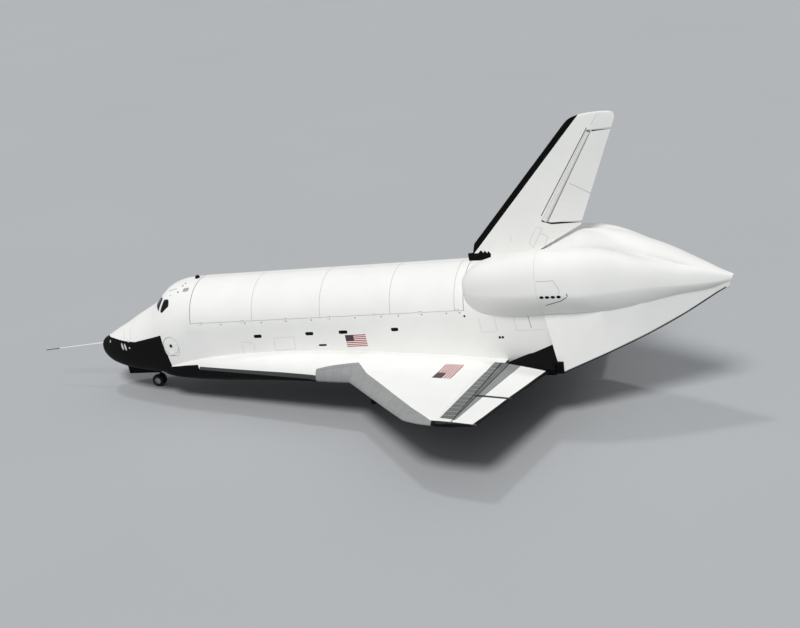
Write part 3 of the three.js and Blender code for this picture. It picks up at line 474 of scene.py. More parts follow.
POD = BodyForm(
    (
        (1306.9, 1, 468, 462, 456, 2.4, 1.4, 70),
        (1307.4, 6, 477, 462, 448, 2.4, 1.4, 70),
        (1309, 20, 488, 461, 428, 2.4, 1.4, 72),
        (1314, 28, 496, 460.5, 408, 2.4, 1.4, 74),
        (1322, 33.5, 503, 461, 398, 2.4, 1.4, 75.5),
        (1332, 38, 512, 462, 390, 2.4, 1.4, 77),
        (1357, 45, 523, 462, 389, 2.4, 1.4, 81),
        (1408, 53, 533.5, 462, 389, 2.4, 1.4, 85),
        (1456, 55.5, 541, 462.5, 390.5, 2.4, 1.4, 87),
        (1500, 55.5, 544, 462, 392.7, 2.4, 1.4, 87.5),
        (1546, 55, 541, 459, 391.6, 2.4, 1.4, 85),
        (1584, 52.5, 540, 452, 390, 2.4, 1.4, 81),
        (1625, 47.5, 534, 450, 382, 2.4, 1.4, 74),
        (1670, 41, 521, 448, 383, 2.4, 1.4, 64),
        (1708, 37, 506.5, 446, 387, 2.4, 1.4, 54),
        (1751, 30, 490, 441, 396, 2.4, 1.4, 42),
        (1787, 24, 474, 435, 403, 2.4, 1.4, 31),
        (1836, 15, 459, 429, 408, 2.4, 1.4, 17),
        (1870, 8, 444, 426, 415, 2.4, 1.4, 8),
        (1896, 3, 433, 428, 418, 2.4, 1.4, 3),
    ),
    tip=1306.4,
    pace=0.42,
    longest=12,
)

HUMP = BodyForm(
    (
        (1440, 22, 503.5, 500, 430, 2, 3),
        (1500, 35, 526, 504, 430, 2, 3),
        (1540, 37, 543, 515, 430, 2, 3),
        (1581, 38, 557, 525, 430, 2, 3),
        (1615, 38, 557, 525, 430, 2, 3),
        (1660, 37, 548, 519, 430, 2, 3),
        (1746, 34, 514, 493, 430, 2, 3),
        (1829, 21, 470, 458, 428, 2, 3),
        (1896, 5, 431, 427, 421, 2, 3),
    ),
    tip=1400.0,
    pace=1.0,
    longest=10,
)

NOSE_CAP_END = 262.0
CABIN_END = 582.0
BAY_END = 1307.0
BASE = 1530.0
CONE_TIP = 1895.57
WAIST = 400.0
GAP = 0.03
FAR = 400.0


def hull(start: float, end: float, grow: float = 0.0, paint: int = 0, quarter: int = 24) -> Solid:
    """Makes the body between two stations, grown or shrunk all round."""
    return HULL.solid(start, end, grow, quarter, paint)


SEAM = ((1500, 640), (1500, 430), (1494, 404), (1515, 299), (1532, 200))


def behind_seam(gap: float) -> Solid:
    """Makes the space behind the seam that parts the tail cone from the body."""
    outline = [(x + gap, z) for x, z in SEAM]
    return prism([*outline, (CONE_TIP + 50, 200), (CONE_TIP + 50, 640)], "y", -FAR, FAR, 1)


def ribbon(path: Outline, width: float) -> Outline:
    """Outlines a line of some width along a path.

    Args:
        path: its corners.
        width: the line's width.

    Returns:
        The outline.
    """
    points = np.array(path, float)
    ways = np.diff(points, axis=0)
    ways /= np.linalg.norm(ways, axis=1)[:, None]
    sides = np.column_stack([-ways[:, 1], ways[:, 0]])
    mean = np.vstack([sides[:1], sides[:-1] + sides[1:], sides[-1:]])
    mean /= np.linalg.norm(mean, axis=1)[:, None]
    mean[1:-1] /= np.maximum(0.3, np.sum(mean[1:-1] * sides[1:], axis=1))[:, None]
    left, right = points + mean * width / 2, points - mean * width / 2
    return [tuple(p) for p in np.vstack([left, right[::-1]])]


def oval(u: float, v: float, width: float, height: float, power: float = 2.0, slant: float = 0.0) -> Outline:
    """Outlines an oval, or a rounded rectangle if the power is high.

    Args:
        u: its middle along the first axis.
        v: its middle along the second axis.
        width: full size along the first axis.
        height: full size along the second axis.
        power: 2 for an ellipse, more for squarer corners.
        slant: how far the first axis leans as the second one rises.

    Returns:
        The outline.
    """
    angle = np.arange(32) * np.pi / 16
    over = np.sign(np.cos(angle)) * np.abs(np.cos(angle)) ** (2 / power) * width / 2
    up = np.sign(np.sin(angle)) * np.abs(np.sin(angle)) ** (2 / power) * height / 2
    return list(zip(u + over + slant * up, v + up))


# Finishes


def linear(colour: str) -> tuple[float, float, float, float]:
    """Turns an sRGB colour into the linear one that Blender works with.

    Args:
        colour: six hexadecimal digits.

    Returns:
        Red, green, blue and full opacity.
    """
    parts = [int(colour[k:k + 2], 16) / 255 for k in (0, 2, 4)]
    red, green, blue = (p / 12.92 if p <= 0.04045 else ((p + 0.055) / 1.055) ** 2.4 for p in parts)
    return red, green, blue, 1.0


class Graph:
    """The node tree of one material."""

    def __init__(self, name: str) -> None:
        """Starts a material with one surface shader."""
        self.material = bpy.data.materials.new(name)
        self.material.use_nodes = True
        self.tree = self.material.node_tree
        self.shader = self.tree.nodes["Principled BSDF"]

    def add(self, kind: str, inputs: dict[int | str, Any] | None = None, **settings: Any) -> bpy.types.Node:
        """Adds a node with its settings and links.

        Args:
            kind: Blender's name of the node, without its prefix.
            inputs: what feeds each input, a value or another node's output.
            settings: the node's own settings.

        Returns:
            The node.
        """
        node = self.tree.nodes.new("ShaderNode" + kind)
        for key, value in settings.items():
            setattr(node, key, value)
        self.feed(node, inputs or {})
        return node

    def feed(self, node: bpy.types.Node, inputs: dict[int | str, Any]) -> None:
        """Sets or links some of a node's inputs."""
        for key, value in inputs.items():
            if isinstance(value, bpy.types.NodeSocket):
                self.tree.links.new(value, node.inputs[key])
            else:
                node.inputs[key].default_value = value

    @functools.cached_property
    def station(self) -> bpy.types.NodeSocket:
        """Station place of the point being shaded, in inches."""
        place = self.add("TexCoord").outputs["Object"]
        settings = {
            "Vector": place,
            "Location": STATIONS.origin,
            "Rotation": (0.0, -PITCH, 0.0),
            "Scale": (INCH, INCH, INCH),
        }
        return self.add("Mapping", settings, vector_type="TEXTURE").outputs[0]

    @functools.cached_property
    def axes(self) -> list[bpy.types.NodeSocket]:
        """Station x, y and z of the point being shaded."""
        return list(self.add("SeparateXYZ", {0: self.station}).outputs)

    def work(self, operation: str, *values: Any) -> bpy.types.NodeSocket:
        """Works out one number from up to three others."""
        return self.add("Math", dict(enumerate(values)), operation=operation).outputs[0]

    def any_of(self, masks: Sequence[Any]) -> Any:
        """Joins masks into one that holds wherever one of them does."""
        return functools.reduce(lambda one, other: self.work("MAXIMUM", one, other), masks)

    def mix(self, share: Any, one: Any, other: Any, blend: str = "MIX") -> bpy.types.NodeSocket:
        """Mixes two colours.

        Args:
            share: how much of the second one shows.
            one: colour where the share is 0.
            other: colour where it is 1.
            blend: Blender's name of the way they mix.

        Returns:
            The mixed colour.
        """
        inputs = {0: share, 6: one, 7: other}
        return self.add("Mix", inputs, data_type="RGBA", blend_type=blend).outputs[2]


class Axis(Enum):
    """The way that a pattern of tiles faces."""

    SIDE = "side"
    TOP = "top"


@dataclass(frozen=True)
class Finish:
    """A finish of one colour with a little variation of tone and gloss."""

    name: str
    colour: str
    roughness: float = 0.5
    metallic: float = 0.0
    ior: float = 1.45
    tone: float = 0.06  # how far the colour varies
    patch_mm: float = 300.0  # size of its lighter and darker patches
    grain_mm: float = 4.0  # size of the surface's bumps, drawn coarse enough to show
    grain_depth: float = 0.0002  # their height in metres

    def colour_of(self, graph: Graph) -> Any:
        """Gives the colour before the variation of tone."""
        return linear(self.colour)

    def height_of(self, graph: Graph) -> Any:
        """Gives the height of the fine surface, from 0 to 1."""
        scale = 1000 / self.grain_mm
        place = graph.add("TexCoord").outputs["Object"]
        return graph.add("TexNoise", {"Vector": place, "Scale": scale, "Detail": 3.0}).outputs["Fac"]

    def adjust(self, graph: Graph) -> None:
        """Sets what only this kind of finish has."""

    @functools.cache
    def material(self) -> bpy.types.Material:
        """Builds the material once.

        Returns:
            The material.
        """
        graph = Graph(self.name)
        place = graph.add("TexCoord").outputs["Object"]
        scale = 1000 / self.patch_mm
        cloud = graph.add("TexNoise", {"Vector": place, "Scale": scale, "Detail": 4.0}).outputs["Fac"]
        spread = {"Value": cloud, "From Min": 0.3, "From Max": 0.7, "To Min": 1 - self.tone, "To Max": 1.0}
        shade = graph.add("MapRange", spread).outputs[0]
        worn = {0: 1.0, 6: self.colour_of(graph),
                7: graph.add("CombineColor", dict.fromkeys(range(3), shade)).outputs[0]}
        tinted = graph.add("Mix", worn, data_type="RGBA", blend_type="MULTIPLY").outputs[2]
        gloss = {"Value": cloud, "From Min": 0.3, "From Max": 0.7,
                 "To Min": self.roughness * 0.92, "To Max": min(1.0, self.roughness * 1.08)}
        bump = {"Height": self.height_of(graph), "Distance": self.grain_depth, "Strength": 1.0}
        surface = {
            "Base Color": tinted,
            "Roughness": graph.add("MapRange", gloss).outputs[0],
            "Metallic": self.metallic,
            "Normal": graph.add("Bump", bump).outputs[0],
        }
        graph.feed(graph.shader, surface)
        if not self.metallic:
            graph.shader.inputs["IOR"].default_value = self.ior
        self.adjust(graph)
        return graph.material


COAT_BLACK = "0B0B0C"
PANEL_GREY = "6E7171"


@dataclass(frozen=True)
class TileSkin(Finish):
    """Coated insulation: square tiles with narrow gaps, over panels joined along seams.

    The tiles are 152 mm square on the full-size craft, so 76 mm here; their gaps are a few
    millimetres and are drawn 5 mm wide. Matt, so it has a broad soft shine and no reflections.
    """

    tile_in: float = 6.0
    length_in: float = 0.0  # how long the tiles are, if they aren't square
    gap_share: float = 0.06
    gap_tone: float = 0.9  # how dark the gaps are
    tile_tone: float = 0.03  # how far one tile differs from the next
    facing: Axis = Axis.SIDE
    seam_colour: str = "AFAFAC"
    seams_x: tuple[float, ...] = ()
    seam_width: float = 1.1

    def tile_place(self, graph: Graph) -> bpy.types.NodeSocket:
        """Gives the place in the tile pattern."""
        x, y, z = graph.axes
        other = z if self.facing is Axis.SIDE else y
        return graph.add("CombineXYZ", {0: x, 1: other, 2: 0.0}).outputs[0]

    def tiles(self, graph: Graph) -> bpy.types.Node:
        """Adds the tile pattern."""
        inputs = {
            "Vector": self.tile_place(graph),
            "Color1": (1.0, 1.0, 1.0, 1.0),
            "Color2": (*[1 - self.tile_tone] * 3, 1.0),
            "Mortar": (*[self.gap_tone] * 3, 1.0),
            "Scale": 1.0,
            "Mortar Size": self.tile_in * self.gap_share / 2,
            "Mortar Smooth": 0.3,
            "Brick Width": self.length_in or self.tile_in,
            "Row Height": self.tile_in,
        }
        return graph.add("TexBrick", inputs, offset=0.0, squash=1.0)

    def base(self, graph: Graph) -> Any:
        """Gives the skin's colour before its tiles and seams."""
        return linear(self.colour)

    def colour_of(self, graph: Graph) -> Any:
        """Gives the colour with its tiles and seams."""
        x, _, z = graph.axes
        half = self.seam_width / 2
        colour = graph.mix(1.0, self.base(graph), self.tiles(graph).outputs["Color"], "MULTIPLY")
        lines = [graph.work("COMPARE", x, place, half) for place in self.seams_x]
        return graph.mix(graph.any_of(lines), colour, linear(self.seam_colour)) if lines else colour

    def height_of(self, graph: Graph) -> Any:
        """Sinks the gaps between the tiles."""
        return graph.work("SUBTRACT", 1.0, self.tiles(graph).outputs["Fac"])


@dataclass(frozen=True)
class ZonedSkin(TileSkin):
    """Skin with zones of other colours, each ahead of or behind a line over the wing.

    Zones: colour, x of the line at the centre plane, its slope with span, 1 behind it or -1 ahead of it.
    """

    zones: tuple[tuple[str, float, float, int], ...] = ()
    split: float = 0.0  # span of a dark joint, if any
    split_half: float = 4.5
    split_colour: str = "0E0E0F"

    def colour_of(self, graph: Graph) -> Any:
        """Lays the zones over the tiles."""
        colour = super().colour_of(graph)
        x, y, _ = graph.axes
        span = graph.work("ABSOLUTE", y)
        for shade, line, slope, way in self.zones:
            ahead = graph.work("MULTIPLY_ADD", span, -slope, x)
            mask = graph.work("GREATER_THAN" if way > 0 else "LESS_THAN", ahead, line)
            colour = graph.mix(mask, colour, linear(shade))
        if self.split:
            colour = graph.mix(graph.work("COMPARE", span, self.split, self.split_half), colour,
                               linear(self.split_colour))
        return colour


@dataclass(frozen=True)
class BoundedSkin(ZonedSkin):
    """White skin above a boundary and black tile below it, with a dark grey strip between if wanted.

    The boundary is a line in x and z; the strip is as high as a second line is above it.
    """

    low_colour: str = COAT_BLACK
    strip_colour: str = "46494A"
    boundary: tuple[tuple[float, float], ...] = ()
    strip: tuple[tuple[float, float], ...] = ()

    def line_height(self, graph: Graph, line: Sequence[tuple[float, float]]) -> bpy.types.NodeSocket:
        """Gives the height of a line at each x.

        Args:
            graph: the material's tree.
            line: its corners in x and z.

        Returns:
            The height.
        """
        (start, _), (end, _) = line[0], line[-1]
        floor, roof = min(z for _, z in line) - 1, max(z for _, z in line) + 1
        along = graph.add("MapRange", {"Value": graph.axes[0], "From Min": start, "From Max": end}).outputs[0]
        curve = graph.add("FloatCurve", {"Value": along})
        points = curve.mapping.curves[0].points
        places = [((x - start) / (end - start), (z - floor) / (roof - floor)) for x, z in line]
        points[0].location, points[-1].location = places[0], places[-1]
        for place in places[1:-1]:
            points.new(*place)
        for point in points:
            point.handle_type = "VECTOR"
        curve.mapping.update()
        return graph.work("MULTIPLY_ADD", curve.outputs[0], roof - floor, floor)

    def base(self, graph: Graph) -> Any:
        """Gives white, grey or black by the height."""
        colour: Any = linear(self.colour)
        for line, shade in ((self.strip, self.strip_colour), (self.boundary, self.low_colour)):
            if line:
                below = graph.work("LESS_THAN", graph.axes[2], self.line_height(graph, line))
                colour = graph.mix(below, colour, linear(shade))
        return colour


# Coated felt sheets and foam tiles, painted white: almost matt, with faint panel joints
WHITE = "F4F4F1"
NOSE_LINE = (
    (238, 357), (254, 359), (269.1, 364.8), (303.1, 367), (353.1, 366.2), (386.9, 366.8), (435.4, 378.2),
    (485.9, 390.6), (487.4, 350), (494, 334.7), (496.9, 307.5), (539.6, 312.4), (582, 316), (1140, 318),
    (1160, 285), (1540, 275),
)
GLOVE_LINE = (
    (456, 304), (496.9, 307.5), (539.6, 312.4), (582, 315.5), (587, 304.5), (915, 294.5), (940, 290),
    (946, 200),
)
GLOVE_STRIP = (
    (456, 303), (586, 303.5), (588, 311.5), (712, 309), (838, 307), (918, 304.5), (940, 303), (946, 200),
)
# The wing's tip is black beyond a line that leans aft
TIP_BLACK = (COAT_BLACK, -1353, 6.06, -1)


def white_skin(kind: type[TileSkin], name: str, **rest: Any) -> TileSkin:
    """Describes a white coated skin of felt sheets or foam tiles: almost matt, its joints hardly showing."""
    return kind(name, WHITE, roughness=0.62, ior=1.2, tone=0.035, patch_mm=900, gap_tone=0.985,
                tile_tone=0.008, **rest)


BODY_SKIN = white_skin(BoundedSkin, "white_coated_skin", boundary=NOSE_LINE)
DOOR_SKIN = white_skin(TileSkin, "white_door_skin", seams_x=(757, 941, 1123, 1284))
PLAIN_SKIN = white_skin(TileSkin, "white_coated_panels")
GLOVE_SKIN = white_skin(BoundedSkin, "glove_edge_skin", facing=Axis.TOP, boundary=GLOVE_LINE,
                        strip=GLOVE_STRIP, zones=(TIP_BLACK,))
# Fired glass coating on silica tiles: black, matt, each tile a little different
BLACK_TILE = TileSkin(
    "black_coated_tile", "0A0A0B", roughness=0.66, ior=1.2, tone=0.2, patch_mm=500, gap_tone=0.45,
    tile_tone=0.35, facing=Axis.TOP,
)
BLACK_SIDE_TILE = TileSkin(
    "black_coated_side_tile", "0A0A0B", roughness=0.66, ior=1.2, tone=0.2, patch_mm=500, gap_tone=0.45,
    tile_tone=0.35,
)
# Moulded carbon laminate: mid grey with a satin coat and a joint every 20 in or so
EDGE_GREY = ZonedSkin(
    "grey_laminate", "9A9C9B", roughness=0.5, ior=1.3, tone=0.08, patch_mm=250, tile_in=24, gap_share=0.025,
    gap_tone=0.6, tile_tone=0.05, facing=Axis.TOP, zones=((COAT_BLACK, 1340, 0, 1),),
)
# Metal panels painted grey, with pale joints between them and a dark line behind them
SEAL_GREY = ZonedSkin(
    "satin_seal_panel", PANEL_GREY, roughness=0.45, tone=0.08, patch_mm=200, tile_in=20, length_in=200,
    gap_share=0.14, gap_tone=2.0, tile_tone=0.22, facing=Axis.TOP,
    zones=((WHITE, 1372.5, -0.042, -1), (WHITE, -1275, 6.06, -1), TIP_BLACK),
)
ELEVON_SKIN = white_skin(
    ZonedSkin, "white_elevon_skin", facing=Axis.TOP, split=312.5,
    zones=(("8F9291", 1446, -0.122, -1), ("2A2B2C", 1409, -0.049, -1), (PANEL_GREY, 1406.5, -0.049, -1),
           (WHITE, -1275, 6.06, -1), (COAT_BLACK, 1516, -0.1773, 1), TIP_BLACK),
)
MARK_BLACK = Finish("black_enamel", COAT_BLACK, roughness=0.55, ior=1.2, tone=0.15, patch_mm=60)
ROLL_GREY = Finish("grey_roll_paint", PANEL_GREY, roughness=0.5, tone=0.08, patch_mm=120)
JOINT_DARK = Finish("dark_joint", "3A3B3C", roughness=0.6, ior=1.2, tone=0.1, patch_mm=80)
MARK_GREY = Finish("grey_sealant", "A9AAA8", roughness=0.6, tone=0.1, patch_mm=80)
MARK_PALE = Finish("pale_grey_enamel", "C9CAC8", roughness=0.55, tone=0.08, patch_mm=80)
FLAG_RED = Finish("red_enamel", "A3101C", roughness=0.5, tone=0.08, patch_mm=80)
FLAG_WHITE = Finish("white_enamel", "F1EFEC", roughness=0.5, tone=0.05, patch_mm=80)
FLAG_DARK = Finish("dark_enamel", "4A3640", roughness=0.5, tone=0.08, patch_mm=80)
INNER_PRIMER = Finish("primed_aluminium", "A3AE8E", roughness=0.45, tone=0.12, patch_mm=150, metallic=0.0)
BOOM_WHITE = Finish("white_boom_paint", "EDEDE9", roughness=0.35, tone=0.04)
BOOM_GREY = Finish("grey_probe_metal", "6E7174", roughness=0.4, metallic=1.0, tone=0.08)
ALLOY = Finish("machined_alloy", "BFC1C2", roughness=0.36, metallic=1.0, tone=0.1, patch_mm=60, grain_mm=2)
CHROME = Finish("hard_chrome", "D9DADB", roughness=0.12, metallic=1.0, tone=0.03, grain_depth=0.00002)
GEAR_PAINT = Finish("white_gear_paint", "DCDEDD", roughness=0.4, tone=0.07, patch_mm=80)
RUBBER = Finish("tyre_rubber", "1C1C1D", roughness=0.82, tone=0.25, patch_mm=60, grain_mm=2,
                grain_depth=0.0004)
HOSE_BLACK = Finish("hose_rubber", "202021", roughness=0.6, tone=0.15, patch_mm=20)
CONSOLE = Finish("grey_console_paint", "4B4F52", roughness=0.6, tone=0.1, patch_mm=50)


@dataclass(frozen=True)
class Glass(Finish):
    """Polished toughened glass over a dark cabin: smooth, dark and mirror-like."""

    def adjust(self, graph: Graph) -> None:
        """Adds a thin clear coat."""
        graph.shader.inputs["Coat Weight"].default_value = 0.12
        graph.shader.inputs["Coat Roughness"].default_value = 0.03


WINDOW_GLASS = Glass("dark_window_glass", "050506", roughness=0.08, ior=1.35, tone=0.02, grain_depth=0.0)


@dataclass(frozen=True)
class QuiltedLiner(Finish):
    """Quilted insulation blanket: coated glass cloth stitched in squares, so it is softly puffed.

    The stitching is 250 mm apart on the full-size craft, so 125 mm here.
    """

    stitch_mm: float = 125.0

    def height_of(self, graph: Graph) -> Any:
        """Puffs each stitched square."""
        x, y, z = graph.axes
        pace = self.stitch_mm / 1000 / INCH
        waves = [graph.work("ABSOLUTE", graph.work("SINE", graph.work("MULTIPLY", axis, math.pi / pace)))
                 for axis in (x, graph.work("ADD", y, z))]
        return graph.work("POWER", graph.work("MULTIPLY", *waves), 0.4)


LINER = QuiltedLiner("quilted_liner", "D6D8D2", roughness=0.7, tone=0.06, patch_mm=120, grain_depth=0.01)


@dataclass(frozen=True)
class WovenCloth(Finish):
    """Plain woven seat cloth: crossing yarns 3 mm apart, drawn 6 mm apart, with a faint sheen."""

    yarn_mm: float = 6.0

    def height_of(self, graph: Graph) -> Any:
        """Crosses two sets of yarns."""
        place = graph.add("TexCoord").outputs["Object"]
        scale = 1000 / self.yarn_mm / 2
        waves = [graph.add("TexWave", {"Vector": place, "Scale": scale}, bands_direction=way).outputs["Fac"]
                 for way in ("Y", "Z")]
        return graph.work("MULTIPLY", *waves)

    def adjust(self, graph: Graph) -> None:
        """Adds the sheen of the loose fibres."""
        graph.shader.inputs["Sheen Weight"].default_value = 0.3
        graph.shader.inputs["Sheen Roughness"].default_value = 0.5


SEAT_CLOTH = WovenCloth("woven_seat_cloth", "3F4650", roughness=0.9, tone=0.1, patch_mm=60,
                        grain_depth=0.0008)

SHARP_ANGLE = math.radians(32)


def make_piece(name: str, solid: Solid, body: str, slot: str, finishes: Sequence[Finish],
               replaces: Sequence[str] = (), bevel: float = 0.0) -> bpy.types.Object:
    """Turns a solid into a piece of the scene.

    Args:
        name: the piece's name.
        solid: its shape, in station inches.
        body: the body that it moves with.
        slot: the record's material slot; not used.
        finishes: what each finish number of the solid stands for.
        replaces: CAD nodes that the piece stands for.
        bevel: width of its softened edges in inches.

    Returns:
        The object.
    """
    mesh = solid.mesh.copy()
    mesh.name = name
    mesh.vertices.foreach_set("co", STATIONS.to_frame(solid.points).ravel())
    numbers = np.empty(len(mesh.polygons), np.int32)
    mesh.polygons.foreach_get("material_index", numbers)
    mesh.polygons.foreach_set("material_index", np.minimum(numbers, len(finishes) - 1))
    for k, finish in enumerate(finishes):
        mesh.materials[k] = finish.material()
    while len(mesh.materials) > len(finishes):
        mesh.materials.pop(index=-1)
    mesh.shade_smooth()
    mesh.set_sharp_from_angle(angle=SHARP_ANGLE)
    piece = bpy.data.objects.new(name, mesh)
    bpy.context.scene.collection.objects.link(piece)
    if bevel:
        edge = piece.modifiers.new("edges", "BEVEL")
        edge.width, edge.segments, edge.limit_method, edge.angle_limit = bevel * INCH, 2, "ANGLE", SHARP_ANGLE
        edge.harden_normals = True
    else:
        piece.modifiers.new("normals", "WEIGHTED_NORMAL").keep_sharp = True
    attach(piece, body)
    if replaces:
        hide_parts(*replaces)
    log.info("%s: %d faces on %s", name, len(mesh.polygons), body)
    return piece


FIXED = "airframe"
SIDES = {"right": 1, "left": -1}


def on_side(solid: Solid, side: str) -> Solid:
    """Returns a starboard solid, or its mirror image for the port side."""
    return solid if side == "right" else solid.mirrored()


# Body


@dataclass
class Boom:
    """The air data boom ahead of the nose."""

    tip: Point = (46.0, 0.0, 326.4)
    root: Point = (252.0, 0.0, 341.2)
    radius: float = 1.9

    def build(self) -> None:
        """Builds the mast with its collars and probe."""
        profile = [(0, 0.5), (0.004, 0.85), (0.03, 1.05), (0.06, 1.1), (0.062, 1.1), (0.07, 1.0),
                   (0.22, 1.22),
                   (0.225, 1.45), (0.245, 1.45), (0.25, 1.3), (0.6, 1.6), (0.9, 1.85), (0.905, 2.3),
                   (0.925, 2.3), (0.93, 1.9), (1.0, 1.9)]
        mast = turned(self.tip, self.root, profile, 32)
        collar = turned(self.tip, self.root, [(0.912, 1.9), (0.93, 2.6), (0.965, 6.5), (1.0, 9.0)], 40)
        front = block((0, -20, 300), (46 + 0.225 * 206, 20, 360))
        whole = mast.join(collar).cut(hull(238.3, 300, GAP, 0, 32))
        make_piece("nose_boom_mast", whole.cut(front), FIXED, "boom_paint", [BOOM_WHITE], ["air_data_boom"])
        make_piece("nose_boom_probe", mast.keep(front), FIXED, "boom_paint", [BOOM_GREY])


@dataclass
class Cabin:
    """Sizes that the forward fuselage and its fittings share."""

    front: float = 410.0
    back: float = 574.0
    floor: float = 324.0
    wall: float = 5.0
    well: tuple[float, ...] = (305.0, 405.0, 19.5, 316.0)
    module: tuple[float, ...] = (297.0, 376.0, 50.0, 350.0)
    hatch: tuple[float, ...] = (509.5, 363.0, 23.0)
    windows: dict[str, tuple[tuple[Point, ...], Point]] = field(default_factory=lambda: {
        "windshield_center": (
            ((450, -3, 453.7), (455, -29, 453.7), (471, -25, 469.9), (468, -3, 470.4)),
            (-0.7, -0.1, 0.7),
        ),
        "windshield_middle": (
            ((458, -35, 454.4), (479, -69.5, 443.6), (488.3, -50, 470.6), (473, -30, 470)),
            (-0.6, -0.4, 0.7),
        ),
        "windshield_side": (
            ((484.6, -72.3, 443.5), (492.5, -76.5, 441.8), (514.7, -72.5, 457.8), (513.2, -63.5, 468.5),
             (508.8, -58.7, 471.9), (494.4, -54.5, 470)),
            (-0.3, -0.75, 0.6),
        ),
    })
    escape_panel: tuple[tuple[Point, ...], Point] = (
        ((504, -9, 493), (504, -37, 485.5), (530, -37, 492), (530, -9, 499.4)),
        (0.0, -0.1, 1.0),
    )

    def opening(self, corners: Sequence[Point], facing: Point, shrink: float = 0.0) -> Solid:
        """Makes the solid that cuts one port opening.

        Args:
            corners: its corners on the skin.
            facing: the way that it faces.
            shrink: how far its corners are drawn in.

        Returns:
            The solid.
        """
        rim = np.array(corners, float)
        arms = rim - rim.mean(0)
        length = np.linalg.norm(arms, axis=1)[:, None]
        rim = rim.mean(0) + arms * (length - shrink) / length
        rounded = round_corners(rim, 3.0)
        return loft(np.array([rounded + np.array(facing) * reach for reach in (-14, 9)]), 1)

    def hatch_hole(self, shrink: float = 0.0, taper: float = 0.0) -> Solid:
        """Makes the round solid that cuts the side hatch, or with a taper the plug that fills it."""
        x, z, radius = self.hatch
        outer, inner = (radius - shrink + taper * (reach - 102) for reach in (FAR / 3, 50))
        return rod((x, -FAR / 3, z), (x, -50, z), outer, inner, 72, 1)

    def bay(self, grow: float) -> Solid:
        """Makes the space of the thruster module ahead of the windows."""
        front, back, side, bottom = self.module
        side += grow
        return block((front - grow, -side, bottom - grow), (back + grow, side, FAR * 2))


def round_corners(rim: np.ndarray, radius: float, steps: int = 4) -> np.ndarray:
    """Rounds the corners of a closed outline in space.

    Args:
        rim: its corners.
        radius: how far from each corner the rounding starts.
        steps: number of steps in each rounding.

    Returns:
        The rounded outline.
    """
    result = []
    for before, corner, after in zip(np.roll(rim, 1, 0), rim, np.roll(rim, -1, 0)):
        start, end = (corner + (other - corner) * min(0.45, radius / np.linalg.norm(other - corner))
                      for other in (before, after))
        for t in np.linspace(0, 1, steps + 1):
            result.append(start * (1 - t)**2 + corner * 2 * t * (1 - t) + end * t**2)
    return np.array(result)


